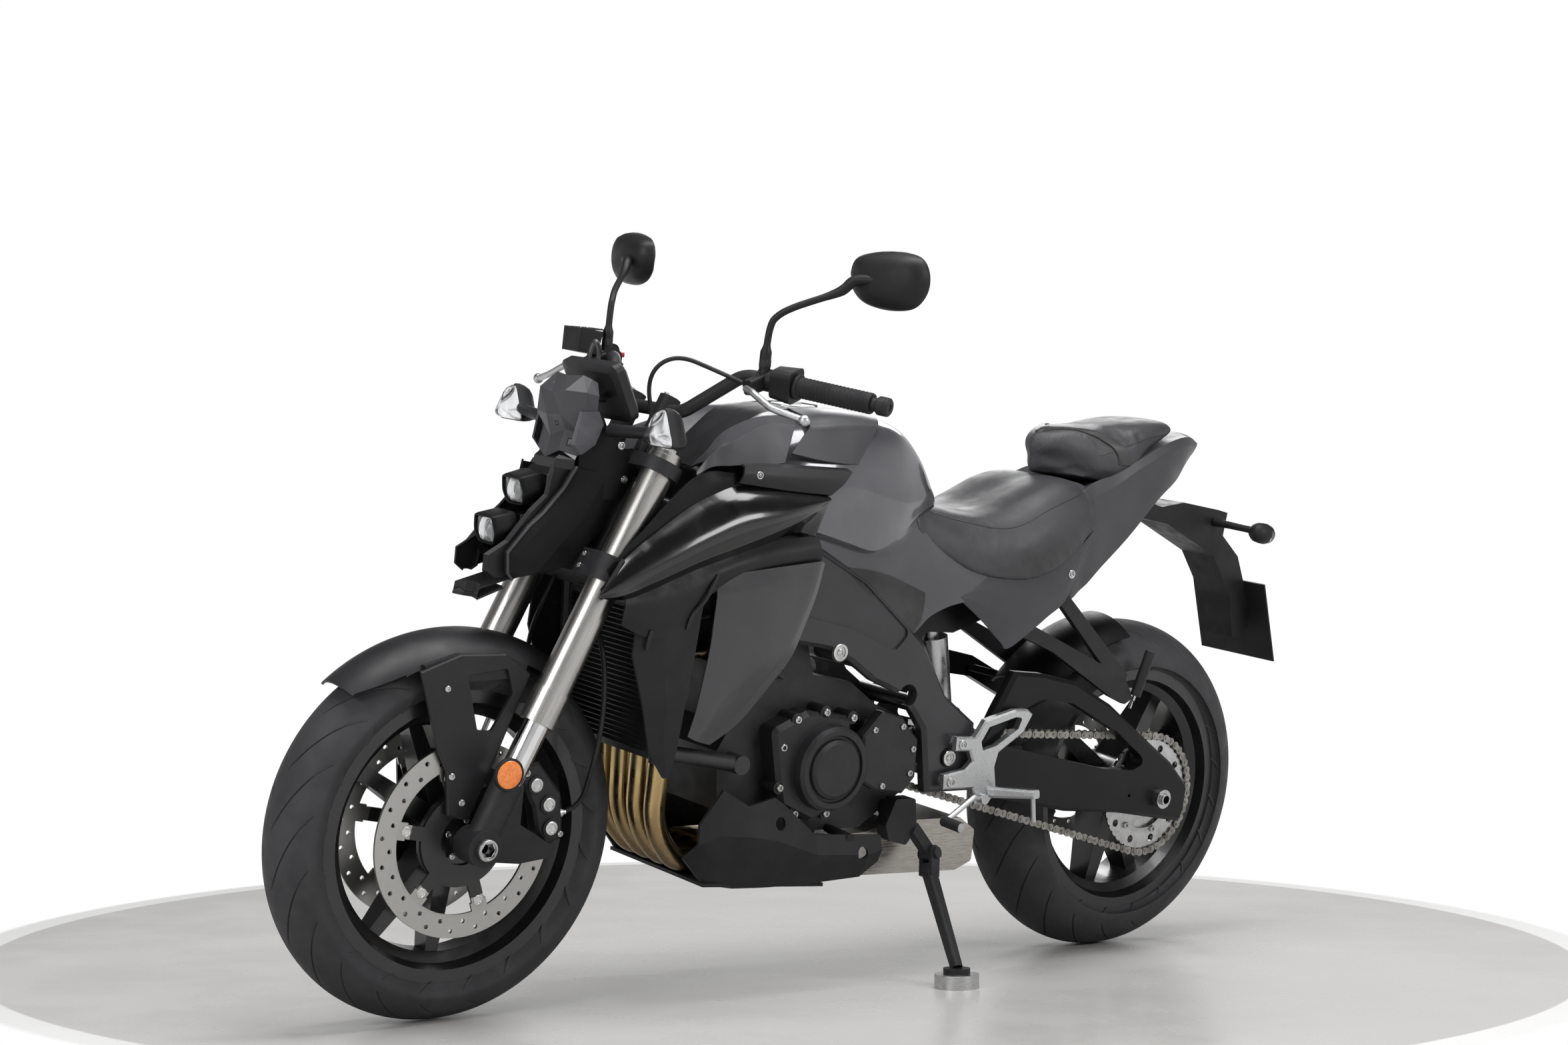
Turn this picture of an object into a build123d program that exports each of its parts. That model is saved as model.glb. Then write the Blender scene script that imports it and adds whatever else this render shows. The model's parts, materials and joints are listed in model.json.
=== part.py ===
"""Naked sport motorcycle of about 950 cc, parked on its side stand.

Millimetres.  Every piece is drawn on the upright machine: X forward, Y left, Z up, with the
origin on the ground below the rear axle.  The last section leans the whole machine over onto
its side stand, levels both tyres on the ground and moves the origin to the middle of the
bottom of its bounding box.
"""
from build123d import *
from math import acos, atan2, cos, degrees, pi, radians, sin, sqrt, tan
import os

os.makedirs("parts", exist_ok=True)

# ---------------------------------------------------------------- driving dimensions
wheelbase = 1460
lean = 9.0                      # parked lean to the left
rake = 25.0                     # steering axis from the vertical
fork_offset = 36.2              # fork legs ahead of the steering axis
fork_spread = 107.6             # fork leg from the middle plane
leg_width = 54                  # outer fork tube
slider_width = 43

front_radius = 300              # 120/70-17
front_crown = 62
front_half = 60
front_bead = 44
rear_radius = 315               # 180/55-17
rear_crown = 92
rear_half = 90
rear_bead = 69
rim_seat = 216
rim_flange = 231

axle_radius = 11
bore_gap = 0.5                  # running clearance of wheels on their axles
front_hub_half = 62
rear_hub_half = 66
front_disc_radius = 155
front_disc_y = 65
front_disc_gauge = 4.5
rear_disc_radius = 122
rear_disc_y = -88
disc_room = 5.2                 # clearance of the calipers to the discs

chain_pitch = 15.875
chain_y = 114
roller_radius = 5.1
front_teeth = 17
rear_teeth = 44
plate_height = 14.6
drive_x, drive_z = 630, 410     # gearbox output shaft
pivot_x, pivot_z = 545, 412     # swingarm pivot

paddock_x, paddock_z = 78, 322  # threads for a paddock stand's bobbins
paddock_thread = 6.8
axle_bore = 8                   # radius of the hole through each hollow axle

stand_pivot = (556, 142, 240)
stand_foot = (591, 277, 76)
stand_hinge = (-0.239, 0.916, 0.323)    # folds the stand backward and up against the machine
puck_radius = 38
puck_height = 23.5

fit = 0.3                       # gap between pieces that seat on each other

# ---------------------------------------------------------------- derived places
front_axle_at = Vector(wheelbase, 0, front_radius)
rear_axle_at = Vector(0, 0, rear_radius)
rake_sin, rake_cos = sin(radians(rake)), cos(radians(rake))
front_spin = Axis(front_axle_at, (0, -1, 0))
rear_spin = Axis(rear_axle_at, (0, -1, 0))
ground_up = Vector(0, -sin(radians(lean)), cos(radians(lean)))


def at_fork(p, y, q):
    """Point in the fork's own frame: p ahead, y left, q up along the legs from the axle."""
    return Vector(
        wheelbase + p * rake_cos - q * rake_sin,
        y,
        front_radius + p * rake_sin + q * rake_cos,
    )


def fork_plane(q):
    """Plane square to the fork legs, q above the front axle."""
    return Plane(origin=at_fork(0, 0, q), x_dir=(rake_cos, 0, rake_sin), z_dir=(-rake_sin, 0, rake_cos))


def side(y):
    """Plane of a side outline at y: its x is X and its y is Z, extruded inward to lower y."""
    return Plane(origin=(0, y, 0), x_dir=(1, 0, 0), z_dir=(0, -1, 0))


def across(x):
    """Plane of a cross-section at x: its x is Y and its y is Z."""
    return Plane(origin=(x, 0, 0), x_dir=(0, 1, 0), z_dir=(1, 0, 0))


def level(z):
    """Plane of a horizontal section at z: its x is X and its y is Y."""
    return Plane(origin=(0, 0, z), x_dir=(1, 0, 0), z_dir=(0, 0, 1))


def radial(axle, angle):
    """Plane through a wheel's axis: its x is the radius at that angle and its y is Y."""
    a = radians(angle)
    return Plane(origin=axle, x_dir=(cos(a), 0, sin(a)), z_dir=(-sin(a), 0, cos(a)))


front_sink = front_crown * (1 - cos(radians(lean)))
rear_sink = rear_crown * (1 - cos(radians(lean)))
pitch = degrees(atan2(rear_sink - front_sink, wheelbase))
leaning = Location((0, 0, rear_sink), (0, -pitch, 0)) * Location((0, 0, 0), (-lean, 0, 0))


# ---------------------------------------------------------------- helpers
def slab(outline, y_outer, y_inner, corner=0, mode=Mode.ADD):
    """Side outline extruded between two values of y, its corners rounded."""
    with BuildSketch(side(y_outer)) as profile:
        with BuildLine():
            Polyline(outline, close=True)
        make_face()
        if corner:
            fillet(profile.vertices(), corner)
    extrude(profile.sketch, amount=y_outer - y_inner, mode=mode)


def panel(outline, y_outer, y_inner, bevel=3, corner=0):
    """Left-hand slab with bevelled outer edges."""
    with BuildSketch(side(y_outer)) as profile:
        with BuildLine():
            Polyline(outline, close=True)
        make_face()
        if corner:
            fillet(profile.vertices(), corner)
    blank = extrude(profile.sketch, amount=y_outer - y_inner, mode=Mode.PRIVATE).solid()
    add(blank.chamfer(bevel, None, blank.faces().sort_by(Axis.Y)[-1].edges()))


def skin(stations, gauge, plane=None, mode=Mode.ADD):
    """Left-hand panel through cross-sections: (x, its (y, z) points), or (z, its (x, y) points)
    when plane is level; the gauge lies inward of the points."""
    sections = []
    for place, line in stations:
        if plane is level:
            inner = [(x, y - gauge) for x, y in reversed(line)]
        else:
            inner = [(y - gauge, z) for y, z in reversed(line)]
        with BuildSketch((plane or across)(place)) as section:
            with BuildLine():
                Polyline(line + inner, close=True)
            make_face()
        sections.append(section.sketch)
    loft(sections, ruled=True, mode=mode)


def block(stations, plane=None, mode=Mode.ADD):
    """Solid with flat facets through outlines that have the same number of corners."""
    sections = []
    for place, outline in stations:
        with BuildSketch((plane or across)(place)) as section:
            with BuildLine():
                Polyline(outline, close=True)
            make_face()
        sections.append(section.sketch)
    loft(sections, ruled=True, mode=mode)


def rod(start, end, width, mode=Mode.ADD):
    """Round bar between two points."""
    run = Vector(*end) - Vector(*start)
    with Locations(Plane(origin=start, z_dir=run).location):
        Cylinder(width / 2, run.length, align=(Align.CENTER, Align.CENTER, Align.MIN), mode=mode)


def cross_rod(x, z, y_from, y_to, width, mode=Mode.ADD):
    """Round bar along Y."""
    rod((x, y_from, z), (x, y_to, z), width, mode)


def bent(points, radii, width):
    """Round tube along straight runs joined by arcs."""
    with BuildLine() as path:
        FilletPolyline(points, radius=radii)
    start = Plane(origin=path.line @ 0, z_dir=path.line % 0)
    with BuildSketch(start) as section:
        Circle(width / 2)
    sweep(section.sketch, path=path.line)


def cord(points, width):
    """Hose along points, turned at each by the widest arc that its shorter run allows."""
    points = [Vector(point) for point in points]
    radii = []
    for before, here, after in zip(points, points[1:], points[2:]):
        turn = radians((here - before).get_angle(after - here))
        radii.append(0.45 * min((here - before).length, (after - here).length) / tan(turn / 2))
    bent(points, radii, width)


def turned_cover(x, z, profile, mode=Mode.ADD):
    """Profile of (radius, y) points turned about a line along Y."""
    centre = Vector(x, 0, z)
    ring_on_axle(Axis(centre, (0, -1, 0)), centre, profile, mode)


def ring_on_axle(axle_spin, axle, profile, mode=Mode.ADD):
    """Profile of (radius, y) points turned about a wheel's axis."""
    with BuildSketch(radial(axle, 0)) as section:
        with BuildLine():
            Polyline(profile, close=True)
        make_face()
    revolve(section.sketch, axis=axle_spin, mode=mode)


def tapered(start, start_size, end, end_size, corner, x_dir=(0, 1, 0)):
    """Bar of rounded rectangular section that changes size from start to end."""
    run = Vector(*end) - Vector(*start)
    with BuildSketch(Plane(origin=start, x_dir=x_dir, z_dir=run)) as first:
        RectangleRounded(start_size[0], start_size[1], corner)
    with BuildSketch(Plane(origin=end, x_dir=x_dir, z_dir=run)) as last:
        RectangleRounded(end_size[0], end_size[1], corner)
    loft([first.sketch, last.sketch])


def tyre(axle, spin, radius, crown, half, bead):
    """Tyre with a round crown, straight sidewalls and beads on the rim seats."""
    shoulder = radius - crown + sqrt(crown**2 - half**2)
    seat = rim_seat + fit
    with BuildSketch(radial(axle, 0)) as section:
        with BuildLine():
            ThreePointArc((shoulder, half), (radius, 0), (shoulder, -half))
            Polyline(
                (shoulder, -half), (rim_flange + 1, -bead - 6), (rim_flange + 1, -bead + fit),
                (seat, -bead + fit), (seat, bead - fit), (rim_flange + 1, bead - fit),
                (rim_flange + 1, bead + 6), (shoulder, half),
            )
        make_face()
    revolve(section.sketch, axis=spin)


def rim(axle, spin, bead):
    """Drop-centre rim with a flange on each side."""
    ring_on_axle(spin, axle, [
        (rim_flange, bead + 5), (rim_flange, bead), (rim_seat, bead), (rim_seat - 3, bead - 16),
        (rim_seat - 20, bead - 28), (rim_seat - 20, -bead + 28), (rim_seat - 3, -bead + 16),
        (rim_seat, -bead), (rim_flange, -bead), (rim_flange, -bead - 5), (rim_seat - 5, -bead - 4),
        (rim_seat - 12, -bead + 14), (rim_seat - 27, -bead + 26), (rim_seat - 27, bead - 26),
        (rim_seat - 12, bead - 14), (rim_seat - 5, bead + 4),
    ])


def spokes(axle, spin, inner, outer, inner_width, outer_width, inner_half, outer_half, turn):
    """Three V pairs of spokes, narrower and thinner towards the rim."""
    with BuildSketch(side(inner_half)) as star:
        for pair in (turn, turn + 120, turn + 240):
            for hand in (-1, 1):
                root = Vector(axle.X, axle.Z) + Vector(1, 0).rotate(Axis.Z, pair + hand * 10) * inner
                tip = Vector(axle.X, axle.Z) + Vector(1, 0).rotate(Axis.Z, pair + hand * 17) * outer
                across_it = (tip - root).normalized().rotate(Axis.Z, 90)
                with BuildLine():
                    Polyline(
                        root + across_it * inner_width / 2, tip + across_it * outer_width / 2,
                        tip - across_it * outer_width / 2, root - across_it * inner_width / 2, close=True,
                    )
                make_face()
    extrude(star.sketch, amount=2 * inner_half)
    ring_on_axle(spin, axle, [(0, inner_half), (outer + 9, outer_half), (outer + 9, -outer_half),
                              (0, -inner_half)], Mode.INTERSECT)


# ---------------------------------------------------------------- front wheel
with BuildPart() as front_tyre:
    tyre(front_axle_at, front_spin, front_radius, front_crown, front_half, front_bead)

with BuildPart() as front_rim:
    spokes(front_axle_at, front_spin, 26, rim_seat - 24, 36, 22, 34, 15, 50)
    cross_rod(wheelbase, front_radius, -front_hub_half, front_hub_half, 78)
    rim(front_axle_at, front_spin, front_bead)
    for hand in (1, -1):
        cross_rod(wheelbase, front_radius, hand * (front_hub_half - 8), hand * front_hub_half, 152)
    cross_rod(wheelbase, front_radius, -front_hub_half, front_hub_half, 2 * (axle_radius + bore_gap),
              Mode.SUBTRACT)


def brake_disc(axle, y, outer, inner, gauge, arms, rivet_at, plate_radius, bore, holes):
    """Drilled band with lugs, floating on the rivets of a spider-shaped carrier."""
    band_plane = side(y + gauge / 2)
    with BuildSketch(band_plane) as band:
        with Locations((axle.X, axle.Z)):
            Circle(outer)
            Circle(inner, mode=Mode.SUBTRACT)
            with PolarLocations((rivet_at + inner) / 2 + 2, arms, start_angle=10):
                Rectangle(inner - rivet_at + 4, 28)
            with PolarLocations(rivet_at, arms, start_angle=10):
                Circle(8 + fit, mode=Mode.SUBTRACT)
            with PolarLocations((outer + inner) / 2 + 7, holes, start_angle=4):
                Circle(3.6, mode=Mode.SUBTRACT)
            with PolarLocations((outer + inner) / 2 - 7, holes, start_angle=4 + 180 / holes):
                Circle(3.6, mode=Mode.SUBTRACT)
    extrude(band.sketch, amount=gauge)
    arm_tip = rivet_at - fit
    with BuildSketch(band_plane) as spider:
        with Locations((axle.X, axle.Z)):
            Circle(plate_radius)
            with PolarLocations((arm_tip + plate_radius) / 2 - 10, arms, start_angle=10):
                Rectangle(arm_tip - plate_radius + 20, 22)
            with PolarLocations(rivet_at, arms, start_angle=10):
                Circle(8)
            Circle(bore, mode=Mode.SUBTRACT)
    extrude(spider.sketch, amount=gauge)


with BuildPart() as front_discs:
    for hand in (1, -1):
        brake_disc(front_axle_at, hand * front_disc_y, front_disc_radius, 118, front_disc_gauge,
                   6, 104, 74, 40, 20)

# ---------------------------------------------------------------- rear wheel
with BuildPart() as rear_tyre:
    tyre(rear_axle_at, rear_spin, rear_radius, rear_crown, rear_half, rear_bead)

with BuildPart() as rear_rim:
    spokes(rear_axle_at, rear_spin, 30, rim_seat - 24, 42, 26, 42, 20, 20)
    cross_rod(0, rear_radius, -rear_hub_half, rear_hub_half, 104)
    rim(rear_axle_at, rear_spin, rear_bead)
    cross_rod(0, rear_radius, -rear_hub_half, rear_hub_half, 2 * (axle_radius + bore_gap), Mode.SUBTRACT)

rear_pitch_radius = chain_pitch / 2 / sin(pi / rear_teeth)
front_pitch_radius = chain_pitch / 2 / sin(pi / front_teeth)


def sprocket(centre, y, gauge, teeth, pitch_radius, bore, holes=0):
    """Chain sprocket whose teeth end inside the circle of the rollers."""
    tip = pitch_radius - roller_radius - 0.7
    with BuildSketch(side(y + gauge / 2)) as wheel:
        with Locations(centre):
            Circle(tip)
            with PolarLocations(tip + 1, teeth):
                Circle(3.2, mode=Mode.SUBTRACT)
            Circle(bore, mode=Mode.SUBTRACT)
            if holes:
                with PolarLocations(tip - 16, holes):
                    Circle(7, mode=Mode.SUBTRACT)
    extrude(wheel.sketch, amount=gauge)


with BuildPart() as rear_sprocket:
    sprocket((0, rear_radius), chain_y, 7, rear_teeth, rear_pitch_radius, 66, 10)
    with BuildSketch(side(chain_y - 3.5)) as lightening:
        with Locations((0, rear_radius)):
            Circle(74)
            Circle(40, mode=Mode.SUBTRACT)
    extrude(lightening.sketch, amount=14)
    ring_on_axle(rear_spin, rear_axle_at, [
        (axle_radius + bore_gap, chain_y - 14), (72, chain_y - 14), (66, rear_hub_half + fit),
        (axle_radius + bore_gap, rear_hub_half + fit),
    ])

with BuildPart() as rear_disc:
    brake_disc(rear_axle_at, rear_disc_y, rear_disc_radius, 92, 5, 5, 80, 60, 20, 16)
    ring_on_axle(rear_spin, rear_axle_at, [
        (axle_radius + bore_gap, rear_disc_y + 2.5), (58, rear_disc_y + 2.5), (58, -rear_hub_half - fit),
        (axle_radius + bore_gap, -rear_hub_half - fit),
    ])

# ---------------------------------------------------------------- fork and steering
stem_offset = -fork_offset
lower_yoke_q = 448
lower_yoke_depth = 42
upper_yoke_q = 640
upper_yoke_depth = 22
leg_bottom_q = 207
leg_top_q = 672
carrier_top_q = 108

with BuildPart() as fork_tubes:
    for y in (fork_spread, -fork_spread):
        with BuildSketch(fork_plane(leg_bottom_q)) as legs:
            with Locations((0, y)):
                Circle(leg_width / 2)
                Circle(slider_width / 2 + fit, mode=Mode.SUBTRACT)
        extrude(legs.sketch, amount=leg_top_q - leg_bottom_q)
        with BuildSketch(fork_plane(leg_bottom_q)) as collars:
            with Locations((0, y)):
                Circle(leg_width / 2 + 2)
                Circle(slider_width / 2 + fit, mode=Mode.SUBTRACT)
        extrude(collars.sketch, amount=56)
        with BuildSketch(fork_plane(leg_top_q)) as caps:
            with Locations((0, y)):
                Circle(leg_width / 2 - 1)
        extrude(caps.sketch, amount=7)
        with BuildSketch(fork_plane(leg_top_q + 7)) as hexes:
            with Locations((0, y)):
                RegularPolygon(14, 6)
        extrude(hexes.sketch, amount=8)

with BuildPart() as fork_sliders:
    for y in (fork_spread, -fork_spread):
        rod(at_fork(0, y, carrier_top_q - 12), at_fork(0, y, leg_bottom_q + 90), slider_width)

carrier_inner, carrier_outer = 83, 132

with BuildPart() as axle_carriers:
    for hand in (1, -1):
        y = hand * fork_spread
        outer, inner = sorted((hand * 112, hand * 97), reverse=True)
        slab([(1400, 392), (1440, 330), (1450, 275), (1385, 268), (1325, 275), (1320, 290), (1388, 330),
              (1388, 392)], outer, inner)
        rod(at_fork(0, y, -6), at_fork(0, y, carrier_top_q), 49)
        cross_rod(wheelbase, front_radius, hand * carrier_inner, hand * carrier_outer, 58)
        rod(at_fork(0, y, carrier_top_q - 12 - fit), at_fork(0, y, carrier_top_q + 40),
            slider_width + 2 * fit, mode=Mode.SUBTRACT)
        cross_rod(wheelbase, front_radius, hand * 80, hand * 140, 2 * (axle_radius + fit), Mode.SUBTRACT)

with BuildPart() as front_axle:
    cross_rod(wheelbase, front_radius, -carrier_outer - 4, carrier_outer + 4, 2 * axle_radius)
    for hand in (1, -1):
        cross_rod(wheelbase, front_radius, hand * (carrier_outer + fit), hand * (carrier_outer + 8), 34)
        cross_rod(wheelbase, front_radius, hand * (front_hub_half + 1), hand * (carrier_inner - fit), 34)
    with BuildSketch(side(carrier_outer + 8)) as socket:
        with Locations((wheelbase, front_radius)):
            RegularPolygon(12, 6)
    extrude(socket.sketch, amount=14, mode=Mode.SUBTRACT)
    cross_rod(wheelbase, front_radius, -160, 160, 2 * axle_bore, Mode.SUBTRACT)


def yoke(q, depth, leg_wall):
    """Clamp plate that joins both fork legs and the steering stem."""
    with BuildSketch(fork_plane(q)) as plate:
        with Locations((0, fork_spread), (0, -fork_spread)):
            Circle(leg_width / 2 + leg_wall)
        with Locations((stem_offset, 0)):
            Circle(30)
        make_hull()
        with Locations((0, fork_spread), (0, -fork_spread)):
            Circle(leg_width / 2 + fit, mode=Mode.SUBTRACT)
    extrude(plate.sketch, amount=depth)


bar_q = 750                     # height of the handlebar's middle above the front axle, along the fork
bar_width = 22
grip_inner = Vector(1050, 272, 1041)
grip_outer = Vector(994, 394, 1028)
bar_middle = at_fork(0, 0, bar_q)
run = (grip_outer - grip_inner).normalized()
pod_inner = grip_inner - run * 44
perch = pod_inner - run * 16

with BuildPart() as fork_yokes:
    yoke(lower_yoke_q, lower_yoke_depth, 9)
    yoke(upper_yoke_q, upper_yoke_depth, 8)
    rod(at_fork(stem_offset, 0, lower_yoke_q), at_fork(stem_offset, 0, upper_yoke_q + 30), 32)
    rod(at_fork(stem_offset, 0, lower_yoke_q), at_fork(stem_offset, 0, lower_yoke_q + 44), 16, Mode.SUBTRACT)
    for hand in (1, -1):
        for q in (lower_yoke_q + 11, lower_yoke_q + 31):
            rod(at_fork(30, hand * 64, q), at_fork(30, hand * 92, q), 14)
    for y in (48, -48):
        rod(at_fork(0, y, upper_yoke_q), at_fork(0, y, bar_q + 22), 36)
    cross_rod(bar_middle.X, bar_middle.Z, -70, 70, bar_width + 2 * fit, Mode.SUBTRACT)

with BuildPart() as handlebar:
    half_bar = [(bar_middle.X, 0, bar_middle.Z), (bar_middle.X, 94, bar_middle.Z), grip_inner - run * 100,
                grip_outer]
    bent(half_bar, [45, 50], bar_width)
    mirror(about=Plane.XZ)

with BuildPart() as grips:
    rod(grip_inner, grip_outer - run * 8, 34)
    rod(grip_inner - run * 6, grip_inner, 40)
    rod(grip_inner - run * 30, grip_outer + run * 2, bar_width + 2 * fit, Mode.SUBTRACT)
    rod(grip_outer + run * fit, grip_outer + run * 22, 30)
    mirror(about=Plane.XZ)

with BuildPart() as bar_controls:
    tapered(pod_inner, (46, 42), grip_inner - run * 7, (52, 48), 10, x_dir=(0.3, 0, 1))
    rod(perch - run * 12, perch + run * 15, 36)
    tapered(perch, (20, 26), perch + Vector(42, 8, -14), (20, 24), 5)
    rod(perch + Vector(8, 2, 6), perch + Vector(8, 2, 21), 18)
    rod(perch - run * 20, grip_inner, bar_width + 2 * fit, Mode.SUBTRACT)
    mirror(about=Plane.XZ)
    tapered((1126, -236, 1052), (50, 46), (1122, -236, 1092), (54, 50), 6)
    rod((perch.X + 16, -perch.Y, perch.Z + 6), (1124, -236, 1060), 12)

with BuildPart() as levers:
    lever_root = perch + Vector(46, 9.3, -15.5)
    lever_tip = Vector(1116, 372, 996)
    bent([lever_root, lever_root + Vector(14, 34, -3), lever_tip + Vector(18, -62, 12), lever_tip],
         [20, 60], 11)
    end_run = Vector(-0.27, 0.94, -0.18)
    with BuildSketch(Plane(origin=lever_tip, x_dir=end_run, z_dir=(end_run.Z, 0, -end_run.X))) as ball:
        with BuildLine():
            ThreePointArc((-8.5, 3), (0, 9), (8.5, 3))
            Polyline((8.5, 3), (8.5, 0), (-8.5, 0), (-8.5, 3))
        make_face()
    revolve(ball.sketch, axis=Axis(lever_tip, end_run))
    mirror(about=Plane.XZ)

mirror_foot = perch + Vector(8, 2, 21 + fit)
mirror_neck = Vector(994, 312, 1214)
mirror_head = Vector(949, 346, 1219)

mirror_outline = [(-74, -16), (-58, -38), (30, -46), (70, -34), (78, 8), (46, 42), (-20, 44), (-66, 22)]

with BuildPart() as mirror_left:
    rod(mirror_foot, mirror_foot + Vector(0, 0, 44), 19)
    bent([mirror_foot + Vector(0, 0, 20), mirror_foot + Vector(-2, 2, 70), mirror_neck], [22], 11)
    rod(mirror_neck - Vector(-22, 20, 24), mirror_neck, 17)
    face_dir = Vector(-0.97, -0.2, 0.05)
    heads = []
    for depth, share in ((2, 0.95), (-3, 1), (-16, 0.9), (-30, 0.5)):
        head_plane = Plane(origin=mirror_head + face_dir * depth, x_dir=(-0.2, 0.97, 0), z_dir=face_dir)
        with BuildSketch(head_plane) as head:
            with BuildLine():
                Polyline([(x * share, y * share) for x, y in mirror_outline], close=True)
            make_face()
            fillet(head.vertices(), 14 * share)
        heads.append(head.sketch)
    loft(heads, ruled=True)
    rod(mirror_neck, mirror_head - face_dir * 16, 14)

with BuildPart() as mirror_right:
    add(mirror_left.part.mirror(Plane.XZ))

with BuildPart() as meter:
    meter_top = Vector(1270, 0, 1040)
    meter_foot = Vector(1228, 0, 958)
    meter_run = (meter_foot - meter_top).normalized()
    meter_face = (meter_top + meter_foot) * 0.5
    meter_out = Vector(-meter_run.Z, 0, meter_run.X)
    sections = []
    for depth, width, height in ((0, 132, 74), (-5, 156, 98), (-20, 156, 98), (-27, 140, 84)):
        here = Plane(origin=meter_face + meter_out * depth, x_dir=(0, 1, 0), z_dir=meter_out)
        with BuildSketch(here) as section:
            RectangleRounded(width, height, 14)
        sections.append(section.sketch)
    loft(sections, ruled=True)
    for y in (28, -28):
        rod((1246, y, 992), (1281.4, y, 992), 14)

# ---------------------------------------------------------------- nose
nose_levels = [
    # height, front of the middle, crease, side corner and back, all (x, half width)
    (1026, 1306, (1300, 40), (1288, 52), 1281),
    (1004, 1334, (1326, 42), (1306, 66), 1281),
    (976, 1350, (1340, 38), (1322, 75), 1285),
    (926, 1344, (1338, 34), (1326, 77), 1246),
    (893, 1349, (1340, 34), (1318, 73), 1236),
    (868, 1386, (1372, 40), (1312, 70), 1228),
    (806, 1396, (1384, 42), (1318, 68), 1222),
    (760, 1400, (1388, 42), (1336, 62), 1314),
    (706, 1388, (1378, 38), (1346, 54), 1330),
]
hoods = (
    [(1340, 872), (1398, 866), (1384, 808), (1340, 808)],
    [(1368, 808), (1443, 802), (1434, 746), (1368, 746)],
)
lens_pockets = (
    [(1352, 860), (1420, 860), (1420, 815), (1352, 815)],
    [(1394, 797), (1470, 797), (1470, 753), (1394, 753)],
)
lens_outlines = (
    [(1352 + fit, 858), (1388, 858), (1377, 817), (1352 + fit, 817)],
    [(1394 + fit, 795), (1432, 795), (1424, 755), (1394 + fit, 755)],
)
lens_half = 27

with BuildPart() as headlight_cowl:
    outlines = []
    for z, front, crease, corner, back in nose_levels:
        outline = [(front, 0), crease, corner, (back, corner[1]), (back, -corner[1])]
        outline += [(corner[0], -corner[1]), (crease[0], -crease[1])]
        outlines.append((z, outline))
    block(outlines, level)
    for outline in hoods:
        slab(outline, 38, -38)
    panel([(1318, 874), (1352, 866), (1402, 795), (1424, 764), (1452, 740), (1449, 710), (1424, 708),
           (1350, 770), (1318, 812)], 53, 40, 2)
    panel([(1296, 900), (1328, 852), (1364, 792), (1422, 742), (1416, 706), (1378, 712), (1310, 770),
           (1272, 850)], 72, 58, 3)
    panel([(1306, 968), (1282, 962), (1262, 930), (1236, 900), (1232, 870), (1292, 876), (1318, 905),
           (1336, 930)], 79, 66, 3)
    panel([(1298, 890), (1232, 884), (1206, 868), (1222, 800), (1300, 772), (1340, 760), (1330, 812)],
          71, 50, 3)
    mirror(about=Plane.XZ)
    slab([(1372, 712), (1448, 708), (1456, 684), (1446, 678), (1400, 700)], 34, -34)
    for hand in (1, -1):
        cross_rod(1213, 850, hand * 60, hand * (fork_spread - leg_width / 2 - fit), 16)
    for outline in lens_pockets:
        slab(outline, lens_half + fit, -lens_half - fit, mode=Mode.SUBTRACT)

with BuildPart() as headlight_lenses:
    for outline in lens_outlines:
        slab(outline, lens_half, -lens_half)

# ---------------------------------------------------------------- front fender
fender_start, fender_end = 48, 128
with BuildPart() as front_fender:
    with BuildSketch(radial(front_axle_at, fender_start)) as shell:
        with BuildLine():
            ThreePointArc((286, 68), (322, 0), (286, -68))
            Line((286, -68), (284, -64))
            ThreePointArc((284, -64), (318, 0), (284, 64))
            Line((284, 64), (286, 68))
        make_face()
    revolve(shell.sketch, axis=front_spin, revolution_arc=fender_end - fender_start)
    for outer, inner in ((90, 44), (-44, -90)):
        slab([(1690, 470), (1640, 440), (1590, 520), (1585, 560), (1660, 530), (1672, 520)], outer, inner,
             mode=Mode.SUBTRACT)
    panel([(1568, 566), (1528, 448), (1508, 412), (1500, 342), (1462, 332), (1421, 433), (1372, 560),
           (1420, 592), (1500, 592)], 80, 73, 2)
    slab([(1486, 560), (1461, 474), (1435, 472), (1402, 530), (1415, 570)], 81, 72, 6, Mode.SUBTRACT)
    slab([(1560, 575), (1545, 548), (1380, 553), (1376, 575), (1420, 590), (1500, 592)], 74, 60)
    mirror(about=Plane.XZ)

with BuildPart() as front_calipers:
    slot = front_disc_gauge / 2 + disc_room
    panel([(1386, 398), (1374, 420), (1352, 424), (1306, 372), (1296, 300), (1328, 290), (1346, 312),
           (1356, 352)], front_disc_y + 31.6, front_disc_y - 27, 5)
    for x, z in ((1322, 318), (1330, 356), (1356, 388)):
        cross_rod(x, z, front_disc_y + 30, front_disc_y + 34.6, 30)
    with BuildSketch(side(front_disc_y + slot)) as groove:
        with Locations((wheelbase, front_radius)):
            Circle(front_disc_radius + 5.5)
    extrude(groove.sketch, amount=2 * slot, mode=Mode.SUBTRACT)
    mirror(about=Plane.XZ)

with BuildPart() as front_lamps:
    for hand in (1, -1):
        rod((1264, hand * 79.3, 945), (1257, hand * 196, 953), 20)
        with BuildSketch(Plane(origin=(1238, hand * 212, 953), x_dir=(0, 1, 0), z_dir=(1, 0, 0.05))) as lamp:
            RegularPolygon(30, 3, rotation=90)
            fillet(lamp.vertices(), 12)
        extrude(lamp.sketch, amount=44)
        cross_rod(1433, 416, hand * (carrier_outer + fit), hand * 140, 52)

# ---------------------------------------------------------------- frame
head_low_q = lower_yoke_q + lower_yoke_depth + 3
head_high_q = upper_yoke_q - 3
engine_half = 100
frame_outer, frame_inner = 150, 127


def both(y_outer, y_inner):
    """The two (outer, inner) values of y of a piece on the left and of its twin on the right."""
    return (y_outer, y_inner), (-y_inner, -y_outer)


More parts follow.
